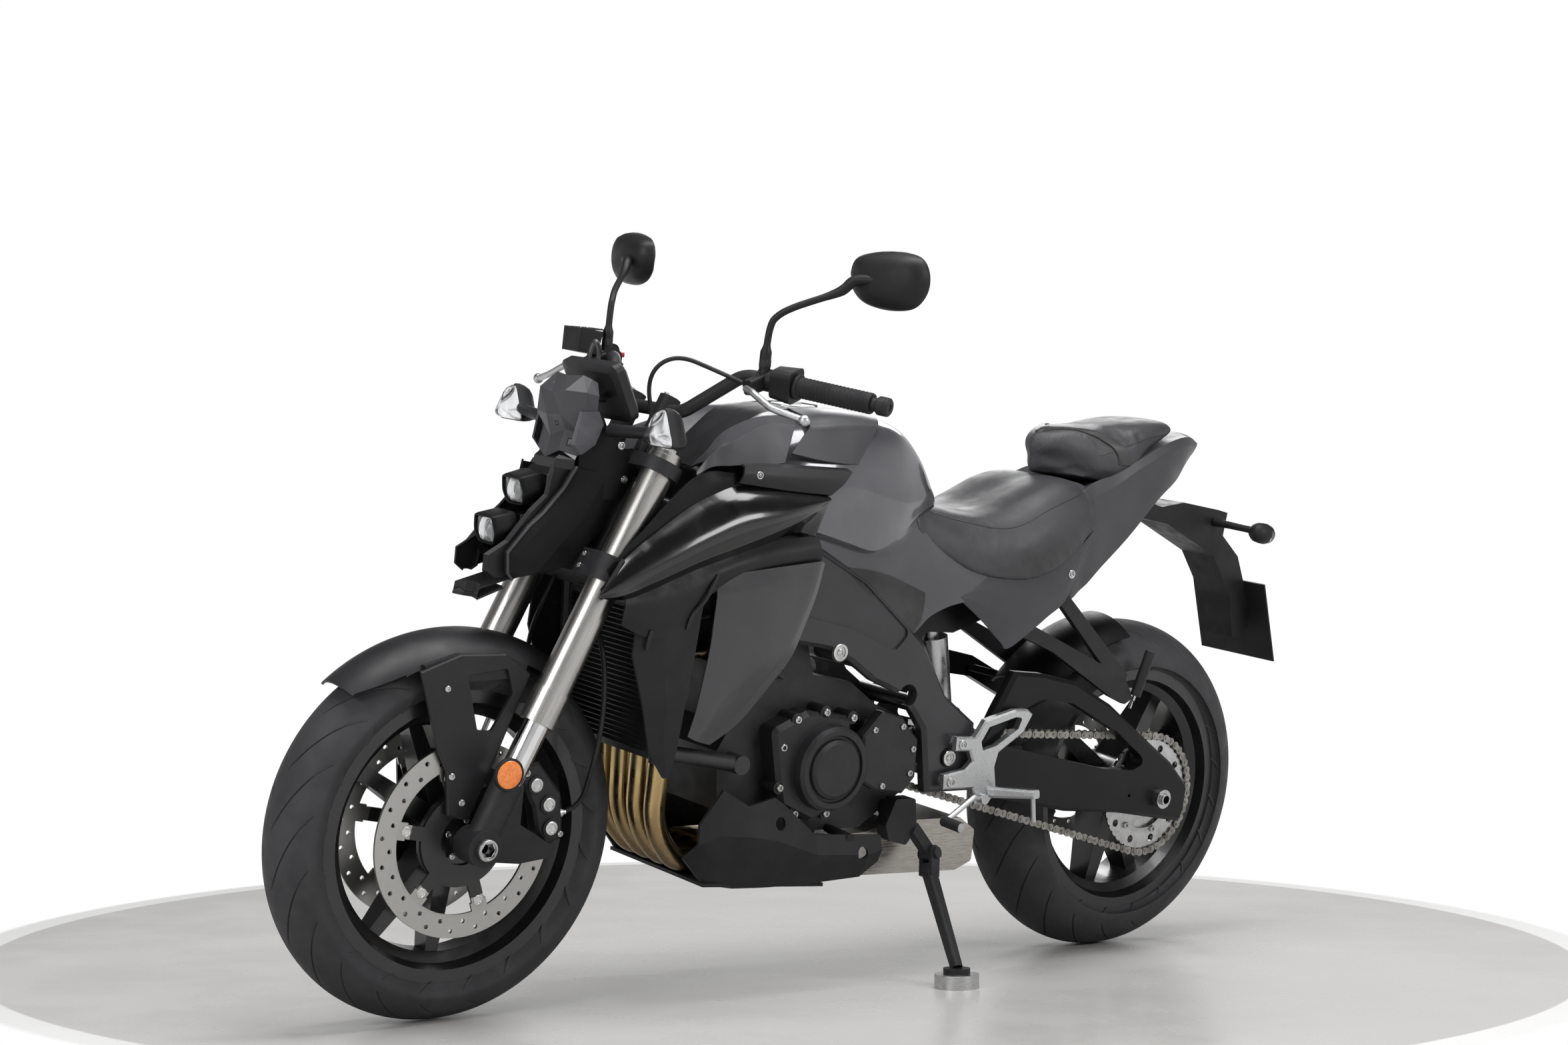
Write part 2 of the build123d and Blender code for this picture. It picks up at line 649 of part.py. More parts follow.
with BuildPart() as main_frame:
    panel([(1000, 800), (905, 792), (760, 720), (620, 610), (560, 520), (485, 470), (478, 350), (585, 350),
           (607, 463), (632, 493), (673, 528), (728, 549), (784, 584), (835, 605), (905, 615), (924, 600),
           (1000, 700)], frame_outer, frame_inner, 7)
    slab([(880, 770), (770, 716), (660, 632), (690, 600), (790, 640), (890, 660), (930, 720)],
         frame_outer + 1, frame_outer - 4, 12, Mode.SUBTRACT)
    mirror(about=Plane.XZ)
    for hand in (1, -1):
        tapered((1184, hand * 16, 800), (36, 104), (985, hand * 138, 752), (24, 96), 6,
                x_dir=(0.52, hand * 0.85, 0))
        cross_rod(812, 600, hand * (engine_half + fit), hand * frame_outer, 34)
    cross_rod(651, 523, -160, 160, 40, Mode.SUBTRACT)
    cross_rod(680, 575, -130, 130, 44)
    cross_rod(846, 750, -130, 130, 40)
    cross_rod(520, 482, -130, 130, 30)
    rod(at_fork(stem_offset, 0, head_low_q), at_fork(stem_offset, 0, head_high_q), 66)
    rod(at_fork(stem_offset, 0, head_low_q - 5), at_fork(stem_offset, 0, head_high_q + 5), 33, Mode.SUBTRACT)
    cross_rod(pivot_x, pivot_z, -160, 160, 33, Mode.SUBTRACT)

with BuildPart() as subframe:
    for outer, inner in both(82, 58):
        slab([(640, 680), (640, 590), (600, 590), (560, 622), (500, 620), (330, 680), (80, 850), (80, 885),
              (150, 840), (215, 785), (330, 722), (450, 716)], outer, inner)
    cross_rod(500, 670, -70, 70, 30)
    cross_rod(120, 840, -70, 70, 24)
    for hand in (1, -1):
        cross_rod(620, 606, hand * 80, hand * (frame_inner - fit), 28)
        rod((452, hand * 70, 700), (452, hand * 70, 737.3), 16)

# ---------------------------------------------------------------- engine
with BuildPart() as engine_block:
    slab([(1000, 330), (1012, 430), (960, 520), (860, 560), (740, 540), (680, 500), (600, 470), (600, 345),
          (690, 285), (960, 285)], engine_half, -engine_half)
    slab([(820, 540), (985, 470), (1047, 580), (1047, 640), (1056, 680), (935, 755), (872, 700)],
         engine_half, -engine_half)
    slab([(880, 290), (880, 214), (784, 214), (784, 290)], 96, 8)
    cross_rod(drive_x, drive_z, engine_half - 5, chain_y - 4, 26)
    for rise in range(4):
        with Locations(Location((936, 0, 574 + 14 * rise), (0, -28, 0))):
            Box(104, 2 * engine_half + 14, 5)

cover_bolts = [(905, 440), (880, 486), (820, 497), (760, 486), (748, 420), (752, 352), (800, 324), (868, 326),
               (905, 372)]

with BuildPart() as engine_covers:
    panel([(930, 470), (860, 500), (762, 488), (752, 340), (830, 310), (900, 340)], 142, engine_half + fit, 8, 14)
    turned_cover(808, 404, [(0, 130), (76, 130), (72, 160), (66, 165), (58, 165), (56, 160), (52, 160), (50, 166),
                            (44, 170), (0, 170)])
    for x, z in cover_bolts:
        cross_rod(x, z, engine_half + fit, 139, 22)
    panel([(740, 455), (700, 497), (655, 485), (634, 462), (616, 446), (614, 380), (640, 352), (700, 360),
           (742, 380)], 150, 126, 4, 6)
    for x, z in ((715, 470), (715, 375)):
        rod((x, engine_half + fit, z), (x, 127, z), 20)
    clutch = [(0, -130), (98, -130), (94, -150), (86, -158), (70, -158), (68, -164), (40, -166), (0, -166)]
    slab([(930, 470), (860, 500), (745, 470), (680, 400), (720, 340), (830, 310), (900, 340)],
         -engine_half - fit, -142, 14)
    turned_cover(780, 404, clutch)

with BuildPart() as exhaust_headers:
    for port in (-1.5, -0.5, 0.5, 1.5):
        bent([(1047 + fit, port * 54, 600), (1096, port * 54, 600), (1112, port * 54, 440),
              (1108, port * 48, 300), (1050, port * 42, 240), (944, port * 42, 240)], [38, 120, 120, 50], 36)
    with BuildSketch(across(958)) as wide:
        with Locations((0, 240)):
            RectangleRounded(166, 42, 10)
    with BuildSketch(across(892)) as narrow:
        with Locations((-44, 240)):
            RectangleRounded(62, 46, 10)
    loft([wide.sketch, narrow.sketch])
    rod((892, -44, 240), (774 + fit, -44, 240), 56)

with BuildPart() as muffler:
    slab([(774, 198), (774, 268), (660, 272), (600, 288), (440, 286), (402, 262), (402, 205), (440, 190)],
         86, -104, 8)

with BuildPart() as radiator:
    tapered((1152, 0, 428), (250, 26), (1165, 0, 672), (250, 26), 3)
    for hand in (1, -1):
        tapered((1152, hand * 135, 424), (20, 36), (1166, hand * 135, 676), (20, 36), 8)
        rod((1150, hand * 120, 650), (1053.4, hand * 94, 656), 14)
    rod((1150, 130, 440), (984, 122, 412), 26)
    cross_rod(984, 412, engine_half + fit, 136, 32)

with BuildPart() as belly_pan:
    skin([(690, [(160, 285), (168, 262), (160, 240)]), (720, [(160, 287), (171, 255), (150, 212)]),
          (835, [(160, 294), (172, 262), (140, 204)]), (905, [(158, 348), (174, 285), (136, 203)]),
          (925, [(158, 360), (174, 292), (134, 203)]), (978, [(158, 348), (172, 300), (132, 205)]),
          (1035, [(160, 378), (168, 305), (128, 214)]), (1075, [(158, 322), (160, 290), (122, 258)])], 6)
    mirror(about=Plane.XZ)
    slab([(1040, 218), (785, 202), (785, 196), (1040, 212)], 134, -134)
    for hand in (1, -1):
        for x, z in ((916, 318), (733, 258)):
            cross_rod(x, z, hand * 140, hand * 190, 22, Mode.SUBTRACT)
    for x in (760, 930):
        for hand in (1, -1):
            rod((x, hand * (engine_half + fit), 288), (x, hand * 164, 284), 16)

# ---------------------------------------------------------------- tank, seats and covers
tank_low = 770.3
tank_stations = [(1040, 908, 68, tank_low, 60), (900, 984, 136, tank_low, 94), (740, 1000, 144, tank_low, 98),
                 (620, 962, 122, tank_low, 84), (528, 872, 64, tank_low, 56)]
fuel_cap_x = 845


def lofted(stations, grow=0, mode=Mode.ADD):
    """Body lofted through cross-sections given as x, top, half width, bottom and half bottom."""
    sections = []
    for x, top, half, low, foot in stations:
        half, foot = half + grow, foot + grow
        top, low = top + grow, low - grow
        with BuildSketch(across(x)) as section:
            with BuildLine():
                Spline((foot, low), (half, low + (top - low) * 0.45), (half * 0.72, top - (top - low) * 0.16),
                       (0, top), (-half * 0.72, top - (top - low) * 0.16), (-half, low + (top - low) * 0.45),
                       (-foot, low))
                Line((-foot, low), (foot, low))
            make_face()
        sections.append(section.sketch)
    loft(sections, mode=mode)


seat_stations = [(625, 852, 90, 800, 86), (540, 838, 116, 752, 106), (450, 838, 140, 738, 128),
                 (330, 884, 148, 742, 130), (215, 890, 120, 800, 108)]
pad_stations = [(392, 930, 62, 902, 58), (350, 985, 84, 893, 78), (200, 1006, 98, 902, 88),
                (90, 1020, 90, 944, 80), (8, 1004, 60, 990, 54)]

with BuildPart() as fuel_tank:
    lofted(tank_stations)
    with Locations((fuel_cap_x, 0, 985)):
        Cylinder(56, 30, align=(Align.CENTER, Align.CENTER, Align.MIN), mode=Mode.SUBTRACT)

with BuildPart() as fuel_cap:
    with Locations((fuel_cap_x, 0, 985 + fit)):
        Cylinder(55, 11, align=(Align.CENTER, Align.CENTER, Align.MIN))
    with Locations((fuel_cap_x, 0, 996)):
        Cylinder(38, 4, align=(Align.CENTER, Align.CENTER, Align.MIN))
    fillet(fuel_cap.faces().sort_by(Axis.Z)[-1].edges(), 1.5)

with BuildPart() as tank_cover:
    lofted(tank_stations, 6)
    slab([(1100, 874), (905, 876), (872, 894), (856, 930), (905, 1040), (1100, 1040)], 170, -170,
         mode=Mode.INTERSECT)
    for hand in (1, -1):
        rod((975, hand * 96, 887), (975, hand * 157, 890), 12)
    lofted(tank_stations, fit, Mode.SUBTRACT)
    with Locations((fuel_cap_x, 0, 985)):
        Cylinder(56, 40, align=(Align.CENTER, Align.CENTER, Align.MIN), mode=Mode.SUBTRACT)
    block([(1040 + fit, [(66, 868), (58, 900), (0, 912), (-58, 900), (-66, 868)]),
           (1078, [(50, 862), (44, 884), (0, 892), (-44, 884), (-50, 862)])])
    skin([(1085, [(148, 907), (163, 895), (158, 878)]), (980, [(148, 904), (166, 891), (158, 877)]),
          (872, [(150, 897), (161, 885), (157, 872)])], 5)
    mirror(about=Plane.XZ)

with BuildPart() as side_shrouds:
    skin([(1318, [(160, 712), (172, 706), (178, 700), (170, 692)]),
          (1285, [(158, 757), (176, 742), (190, 722), (180, 702)]),
          (1215, [(158, 796), (178, 776), (195, 752), (184, 728)]),
          (1165, [(156, 823), (178, 800), (197, 770), (186, 741)]),
          (1093, [(154, 873), (178, 838), (197, 795), (187, 760)]),
          (1000, [(153, 872), (174, 846), (192, 818), (182, 800)]),
          (905, [(154, 866), (168, 850), (180, 822), (174, 796)])], 6)
    cross_rod(960, 786, frame_outer + fit, 176, 16)
    rod((960, 172, 786), (960, 174, 808), 14)
    mirror(about=Plane.XZ)

with BuildPart() as side_panels:
    skin([(778, [(938, 167), (955, 172), (968, 168)]),
          (705, [(922, 166), (1020, 185), (1108, 176)]),
          (665, [(944, 164), (1034, 184), (1095, 178)]),
          (565, [(1002, 160), (1070, 178), (1120, 174)]),
          (490, [(1060, 160), (1096, 172), (1124, 170)]),
          (462, [(1120, 166), (1124, 168), (1128, 166)])], 6, level)
    rod((975, frame_outer + fit, 735), (975, 170, 735), 16)
    mirror(about=Plane.XZ)

with BuildPart() as radiator_shrouds:
    skin([(690, [(1118, 168), (1176, 168), (1230, 154)]),
          (600, [(1126, 168), (1186, 167), (1236, 154)]),
          (520, [(1134, 166), (1170, 165), (1208, 154)]),
          (445, [(1140, 162), (1164, 161), (1188, 154)]),
          (402, [(1146, 156), (1150, 156), (1155, 154)])], 4, level)
    rod((1162, 145 + fit, 560), (1162, 164, 560), 14)
    mirror(about=Plane.XZ)

with BuildPart() as rider_seat:
    lofted(seat_stations)
    lofted(tank_stations, 1, Mode.SUBTRACT)
    lofted(pad_stations, 1, Mode.SUBTRACT)

with BuildPart() as pillion_seat:
    lofted(pad_stations)

with BuildPart() as tail_cowl:
    panel([(196, 880), (120, 892), (60, 920), (-60, 970), (-64, 947), (-50, 916), (-10, 880), (20, 850),
           (110, 795), (190, 826)], 99, 86, 6)
    slab([(150, 872), (70, 892), (-30, 936), (-44, 924), (-8, 896), (60, 862), (120, 840)], 100, 96.5,
         mode=Mode.SUBTRACT)
    mirror(about=Plane.XZ)
    slab([(60, 936), (-50, 970), (-97, 979), (-64, 947), (-50, 916), (40, 892)], 88, -88)
    for hand in (1, -1):
        cross_rod(140, 826, hand * (82 + fit), hand * 88, 12)
    slab([(-88, 974), (-70, 950), (-66, 946), (-100, 972)], 40, -40, mode=Mode.SUBTRACT)

with BuildPart() as side_covers:
    panel([(500, 690), (450, 645), (400, 586), (340, 604), (300, 640), (270, 670), (200, 750), (200, 785),
           (330, 728), (400, 722), (520, 730)], 136, 126, 4)
    mirror(about=Plane.XZ)
    for hand in (1, -1):
        rod((400, hand * (82 + fit), 690), (400, hand * 127, 690), 16)

with BuildPart() as plate_holder:
    slab([(104, 876), (78, 878), (-40, 852), (-100, 862), (-200, 850), (-226, 845), (-220, 800), (-270, 760),
          (-296.7, 706), (-319.7, 640), (-310, 600), (-280, 600), (-262, 680), (-200, 760), (-60, 820),
          (78, 838), (104, 852)], 42, -42)
    cross_rod(94, 864, -58 + fit, 58 - fit, 16)
    tapered((-297, 0, 712), (190, 4), (-350, 0, 560), (190, 4), 1.5)

with BuildPart() as rear_lamps:
    for hand in (1, -1):
        rod((-190, hand * 43.5, 826), (-203, hand * 130, 822), 16)
        rod((-185, hand * 146, 822), (-240, hand * 146, 815), 40)
    slab([(-88, 972), (-72, 953), (-70, 951), (-97, 970)], 39, -39)

# ---------------------------------------------------------------- swingarm and drive
with BuildPart() as swingarm:
    panel([(466, 440), (400, 560), (330, 555), (250, 540), (150, 495), (50, 430), (-30, 380), (-80, 335),
           (-80, 290), (-70, 265), (0, 275), (100, 290), (240, 300), (400, 330), (466, 345)], 150, 128, 7)
    slab([(430, 432), (400, 480), (330, 510), (250, 500), (130, 445), (60, 398), (45, 382), (75, 370),
          (150, 375), (250, 395)], 151, 127, 10, Mode.SUBTRACT)
    mirror(about=Plane.XZ)
    cross_rod(0, rear_radius, -160, 160, 2 * (axle_radius + fit), Mode.SUBTRACT)
    cross_rod(paddock_x, paddock_z, -160, 160, paddock_thread, Mode.SUBTRACT)
    for outer, inner in both(98, 60):
        slab([(572, 430), (540, 440), (430, 422), (430, 345), (545, 385), (570, 395)], outer, inner)
    slab([(466, 422), (345, 422), (345, 345), (466, 345)], 129, -129, 8)
    cross_rod(pivot_x, pivot_z, -126, 126, 56)
    cross_rod(pivot_x, pivot_z, -154, 154, 32)

with BuildPart() as rear_axle:
    cross_rod(0, rear_radius, -172, 172, 2 * axle_radius)
    for hand in (1, -1):
        cross_rod(0, rear_radius, hand * (150 + fit), hand * 166, 36)
    cross_rod(0, rear_radius, chain_y + 5, 128 - fit, 34)
    cross_rod(0, rear_radius, -128 + fit, rear_disc_y - 4, 34)
    cross_rod(0, rear_radius, -180, 180, 2 * axle_bore, Mode.SUBTRACT)


# The pitch line goes forward along the top run, round the front sprocket, back and round the rear one.
front_centre, rear_centre = Vector(drive_x, drive_z), Vector(0, rear_radius)
centre_line = front_centre - rear_centre
line_angle = atan2(centre_line.Y, centre_line.X)
wrap = acos((rear_pitch_radius - front_pitch_radius) / centre_line.length)
straight = centre_line.length * sin(wrap)
front_arc = 2 * wrap * front_pitch_radius
rear_arc = 2 * (pi - wrap) * rear_pitch_radius
chain_length = 2 * straight + front_arc + rear_arc
links = 2 * round(chain_length / chain_pitch / 2)


def around(centre, radius, angle):
    """Point on a sprocket's pitch circle."""
    return centre + Vector(cos(angle), sin(angle)) * radius


def chain_pin(number):
    """Place of a pin on the pitch line."""
    s = number % links * chain_length / links
    if s < straight:
        start = around(rear_centre, rear_pitch_radius, line_angle + wrap)
        end = around(front_centre, front_pitch_radius, line_angle + wrap)
        return start + (end - start) * (s / straight)
    s -= straight
    if s < front_arc:
        return around(front_centre, front_pitch_radius, line_angle + wrap - s / front_pitch_radius)
    s -= front_arc
    if s < straight:
        start = around(front_centre, front_pitch_radius, line_angle - wrap)
        end = around(rear_centre, rear_pitch_radius, line_angle - wrap)
        return start + (end - start) * (s / straight)
    return around(rear_centre, rear_pitch_radius, line_angle - wrap - (s - straight) / rear_pitch_radius)


def chain_link(reach, inner, outer, pin_radius, pin_half):
    """One link about its middle: two waisted plates on each side of the rollers or pins that join them."""
    ends = (-chain_pitch / 2, 0), (chain_pitch / 2, 0)
    with BuildPart() as link:
        for y_outer in (outer, -inner):
            with BuildSketch(side(y_outer)) as plate:
                with Locations(ends):
                    Circle(reach)
                Rectangle(chain_pitch, 1.5 * reach)
            extrude(plate.sketch, amount=outer - inner)
        with BuildSketch(side(pin_half)) as pins:
            with Locations(ends):
                RegularPolygon(pin_radius, 10)
        extrude(pins.sketch, amount=2 * pin_half)
    return link.part


inner_link = chain_link(plate_height / 2 - 0.6, 4.5, 6.3, roller_radius, 4.6)
outer_link = chain_link(plate_height / 2, 6.5, 8.3, 2.8, 9.5)

with BuildPart() as chain:
    for first, link in ((0, inner_link), (1, outer_link)):
        places = []
        for number in range(first, links, 2):
            here, there = chain_pin(number), chain_pin(number + 1)
            turn = degrees(atan2(there.Y - here.Y, there.X - here.X))
            places.append(Location(((here.X + there.X) / 2, chain_y, (here.Y + there.Y) / 2), (0, -turn, 0)))
        with Locations(*places):
            add(link)
    sprocket((drive_x, drive_z), chain_y, 7, front_teeth, front_pitch_radius, 13 + fit)

with BuildPart() as rear_shock:
    rod((490, 0, 652), (440, 0, 426), 30)
    rod((478, 0, 600), (450, 0, 470), 62)

with BuildPart() as hugger:
    with BuildSketch(radial(rear_axle_at, 38)) as shell:
        with BuildLine():
            ThreePointArc((300, 84), (334, 0), (300, -84))
            Line((300, -84), (297, -80))
            ThreePointArc((297, -80), (330, 0), (297, 80))
            Line((297, 80), (300, 84))
        make_face()
    revolve(shell.sketch, axis=rear_spin, revolution_arc=42)
    for hand in (1, -1):
        rod((228, hand * 80, 513), (259, hand * 124, 519), 14)

with BuildPart() as rear_caliper:
    slab([(60, 450), (110, 440), (136, 384), (92, 368), (40, 415)], rear_disc_y + 22, rear_disc_y - 24)
    with BuildSketch(side(rear_disc_y + 7.8)) as groove:
        with Locations((0, rear_radius)):
            Circle(rear_disc_radius + 5.5)
    extrude(groove.sketch, amount=15.6, mode=Mode.SUBTRACT)
    slab([(80, 436), (140, 390), (150, 380), (92, 368)], rear_disc_y - 23, -128 + fit)

# ---------------------------------------------------------------- footrests and controls
with BuildPart() as footrest_hangers:
    panel([(546, 452), (503, 450), (483, 480), (414, 497), (384, 497), (370, 488), (389, 455), (444, 421),
           (450, 396), (440, 350), (458, 330), (488, 330), (498, 360), (566, 360), (568, 386), (520, 394),
           (505, 408),
           (514, 426), (546, 427)], 173, 160, 3)
    slab([(490, 442), (474, 468), (412, 484), (396, 482), (404, 462), (452, 434), (484, 426)], 174, 159, 4,
         Mode.SUBTRACT)
    rod((533, frame_outer + fit, 439), (533, 161, 439), 22)
    rod((552, frame_outer + fit, 373), (552, 161, 373), 22)
    tapered((452, 170, 351), (26, 20), (425, 256, 364), (22, 15), 5, x_dir=(1, 0, 0))
    rod((427, 250, 358), (420, 251, 314), 8)
    mirror(about=Plane.XZ)

with BuildPart() as foot_controls:
    bent([(470, 178, 342), (500, 180, 346), (572, 190, 309)], [14], 10)
    rod((572, 184, 309), (568, 228, 306), 16)
    cross_rod(478, 342, 173 + fit, 186, 18)
    mirror(about=Plane.XZ)

with BuildPart() as pillion_hangers:
    for outer, inner in both(124, 112):
        slab([(430, 640), (400, 660), (95, 540), (70, 500), (90, 490), (130, 505), (290, 590)], outer, inner)
        slab([(310, 700), (280, 706), (90, 545), (110, 520)], outer, inner)
    for hand in (1, -1):
        rod((64, hand * 124, 505), (44, hand * 132, 590), 20)
        rod((400, hand * 84, 660), (400, hand * 113, 652), 18)

# ---------------------------------------------------------------- side stand
foot_on_ground = (leaning * Pos(*stand_foot)).position
hinge = Vector(*stand_hinge).normalized()
stand_at = Vector(*stand_pivot)
leg_run = Vector(*stand_foot) - stand_at
leg_down = (leg_run - hinge * leg_run.dot(hinge)).normalized()
bracket_run = Vector(80, -29, 78)
bracket_up = (bracket_run - hinge * bracket_run.dot(hinge)).normalized()
lug_half = 7


def bar_at_hinge(way, start, end, width, low, high):
    """Flat bar from the hinge axis along way, between two heights along the hinge."""
    middle = stand_at + way * (start + end) / 2 + hinge * (low + high) / 2
    with Locations(Plane(origin=middle, x_dir=way, z_dir=hinge).location):
        Box(end - start, width, high - low)


with BuildPart() as stand_bracket:
    slab([(644, 340), (662, 296), (652, 268), (612, 258), (590, 286), (600, 340)], 140, 112, 6)
    rod((636, engine_half + fit, 318), (636, 113, 318), 30)
    rod(stand_at - hinge * lug_half, stand_at + hinge * lug_half, 30)
    bar_at_hinge(bracket_up, 0, 62, 24, -lug_half, lug_half)
    rod(stand_at - hinge * 20, stand_at + hinge * 20, 12.6, Mode.SUBTRACT)

with BuildPart() as side_stand:
    for low, high in ((lug_half + 0.5, lug_half + 6.5), (-lug_half - 6.5, -lug_half - 0.5)):
        rod(stand_at + hinge * low, stand_at + hinge * high, 28)
        bar_at_hinge(leg_down, 0, 36, 24, low, high)
    bar_at_hinge(leg_down, 20, 40, 24, -lug_half - 6.5, lug_half + 6.5)
    tapered(stand_at + leg_down * 32, (22, 24), stand_foot, (18, 20), 6, x_dir=(1, 0, 0))
    rod(Vector(*stand_foot) - ground_up * (foot_on_ground.Z - puck_height - 0.1), Vector(*stand_foot), 46)
    rod(stand_at - hinge * 17, stand_at + hinge * 17, 12)
    for end in (1, -1):
        rod(stand_at + hinge * end * (lug_half + 6), stand_at + hinge * end * (lug_half + 12), 20)

# ---------------------------------------------------------------- hoses and cable
yoke_top = upper_yoke_q + upper_yoke_depth + fit
caliper_rear = 1301

with BuildPart() as clutch_cable:
    cord([(1106.6, 211.8, 1036.4), (1130, 165, 1052), (1180, 112, 1074), (1210, 82, 1034),
          at_fork(20, 75, yoke_top + 46), at_fork(20, 75, yoke_top)], 7)

with BuildPart() as brake_hoses:
    cord([(1106.9, -211.3, 1036.8), (1130, -165, 1056), (1184, -110, 1084), (1214, -82, 1036),
          at_fork(20, -75, yoke_top + 46), at_fork(20, -75, yoke_top)], 8)
    for hand in (1, -1):
        cord([at_fork(-30, hand * 72, lower_yoke_q - fit), at_fork(-30, hand * 72, lower_yoke_q - 44),
              (1258, hand * 112, 590), (1256, hand * 120, 490), (1262, hand * 106, 400),
              (caliper_rear - 38, hand * 84, 343.3), (caliper_rear, hand * 84, 338)], 8)

pieces = {
    "front_tyre": front_tyre, "front_rim": front_rim, "front_discs": front_discs,
    "rear_tyre": rear_tyre, "rear_rim": rear_rim, "rear_sprocket": rear_sprocket, "rear_disc": rear_disc,
    "fork_tubes": fork_tubes, "fork_sliders": fork_sliders, "axle_carriers": axle_carriers,
    "front_axle": front_axle, "fork_yokes": fork_yokes, "handlebar": handlebar, "grips": grips,
    "bar_controls": bar_controls, "levers": levers, "mirror_left": mirror_left, "mirror_right": mirror_right,
    "meter": meter, "headlight_cowl": headlight_cowl, "headlight_lenses": headlight_lenses,
    "front_fender": front_fender, "front_calipers": front_calipers, "front_lamps": front_lamps,
    "main_frame": main_frame, "subframe": subframe, "engine_block": engine_block,
    "engine_covers": engine_covers, "exhaust_headers": exhaust_headers, "muffler": muffler,
    "radiator": radiator, "belly_pan": belly_pan, "fuel_tank": fuel_tank, "tank_cover": tank_cover,
    "side_shrouds": side_shrouds, "side_panels": side_panels, "radiator_shrouds": radiator_shrouds,
    "rider_seat": rider_seat, "pillion_seat": pillion_seat, "tail_cowl": tail_cowl,
    "side_covers": side_covers, "plate_holder": plate_holder, "rear_lamps": rear_lamps,
    "swingarm": swingarm, "rear_axle": rear_axle, "chain": chain, "rear_shock": rear_shock,
    "hugger": hugger, "rear_caliper": rear_caliper, "footrest_hangers": footrest_hangers,
    "foot_controls": foot_controls, "pillion_hangers": pillion_hangers, "stand_bracket": stand_bracket,
    "side_stand": side_stand, "fuel_cap": fuel_cap, "clutch_cable": clutch_cable,
    "brake_hoses": brake_hoses,
}

# ---------------------------------------------------------------- parked on the side stand
for piece in pieces.values():
    piece.part.move(leaning)

with BuildPart() as stand_puck:
    with Locations((foot_on_ground.X, foot_on_ground.Y, 0)):
        Cylinder(puck_radius, puck_height, align=(Align.CENTER, Align.CENTER, Align.MIN))
pieces["stand_puck"] = stand_puck

boxes = [piece.part.bounding_box() for piece in pieces.values()]
middle_x = (min(box.min.X for box in boxes) + max(box.max.X for box in boxes)) / 2
middle_y = (min(box.min.Y for box in boxes) + max(box.max.Y for box in boxes)) / 2
to_origin = Location((-middle_x, -middle_y, 0))

for name, piece in pieces.items():
    piece.part.move(to_origin)
    piece.part.label = name
    export_step(piece.part, "parts/" + name + ".step")
print(len(pieces), "pieces; ground level", min(box.min.Z for box in boxes))
print("origin moved by", -middle_x, -middle_y)
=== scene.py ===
"""Looks of a naked sport motorcycle that stands on its side stand.

Shapes are worked out in millimetres on the upright machine (x ahead of the rear axle, y to the
left, z above the ground), and placed() carries them onto the leaning frame, in metres.
"""
import json

import bmesh
import bpy
import numpy as np
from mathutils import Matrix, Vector
from mathutils.bvhtree import BVHTree


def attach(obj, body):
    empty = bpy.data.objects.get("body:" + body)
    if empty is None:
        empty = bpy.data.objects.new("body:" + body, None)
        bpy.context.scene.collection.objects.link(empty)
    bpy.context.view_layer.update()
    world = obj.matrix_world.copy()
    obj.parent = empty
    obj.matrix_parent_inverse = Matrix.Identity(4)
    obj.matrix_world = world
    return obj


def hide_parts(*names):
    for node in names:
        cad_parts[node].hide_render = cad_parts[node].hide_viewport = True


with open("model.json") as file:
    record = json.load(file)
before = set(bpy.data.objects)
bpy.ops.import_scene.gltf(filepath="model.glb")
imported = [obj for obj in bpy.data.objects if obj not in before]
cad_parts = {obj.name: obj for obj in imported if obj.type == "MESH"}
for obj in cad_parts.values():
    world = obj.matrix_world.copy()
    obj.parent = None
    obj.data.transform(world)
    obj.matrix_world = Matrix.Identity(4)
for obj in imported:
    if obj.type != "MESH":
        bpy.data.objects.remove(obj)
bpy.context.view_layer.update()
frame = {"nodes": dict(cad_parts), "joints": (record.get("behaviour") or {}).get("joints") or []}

nodes = frame["nodes"]
joints = {joint["name"]: joint for joint in frame["joints"]}


def unit(way):
    """Direction of length one."""
    return np.asarray(way, float) / np.linalg.norm(way)


# ---------------------------------------------------------------- the upright machine's axes
rear_radius, front_radius, wheelbase = 315.0, 300.0, 1460.0
rear_hub = np.array(joints["rear_wheel_spin"]["pos_m"])
front_hub = np.array(joints["front_wheel_spin"]["pos_m"])
left = np.array(joints["rear_wheel_spin"]["axis"])
hub_line = unit(front_hub - rear_hub)
drop = np.arctan2(rear_radius - front_radius, wheelbase)
ahead = np.cos(drop) * hub_line + np.sin(drop) * np.cross(hub_line, left)
upward = np.cross(ahead, left)
axes = np.array([ahead, left, upward])
foot = rear_hub - upward * rear_radius / 1000

rear_axle = np.array([0.0, 0.0, rear_radius])
front_axle = np.array([wheelbase, 0.0, front_radius])
rake = np.radians(25)
leg_way = np.array([-np.sin(rake), 0, np.cos(rake)])
leg_ahead = np.array([np.cos(rake), 0, np.sin(rake)])
forward, leftward, rightward, skyward = (1, 0, 0), (0, 1, 0), (0, -1, 0), (0, 0, 1)
hands = ((1, "left"), (-1, "right"))


def placed(points):
    """Points of the upright machine, in millimetres, carried onto the frame in metres."""
    return foot + np.asarray(points, float) @ axes / 1000


def at_fork(p, y, q):
    """Point p ahead of the fork legs' plane, y to the left and q up along them from the axle."""
    return front_axle + p * leg_ahead + q * leg_way + np.array([0, y, 0])


# ---------------------------------------------------------------- camera
scene = bpy.context.scene


def linked(name, data):
    """New object in the scene."""
    made = bpy.data.objects.new(name, data)
    scene.collection.objects.link(made)
    return made


camera = linked("camera", bpy.data.cameras.new("camera"))
scene.camera = camera
camera.location = (2.7957, 3.2951, 0.6472)
camera.rotation_euler = (np.radians(91.908), 0, np.radians(231.504 - 90))
camera.data.sensor_width = 36
camera.data.lens = 57.84
scene.view_settings.view_transform = "Standard"


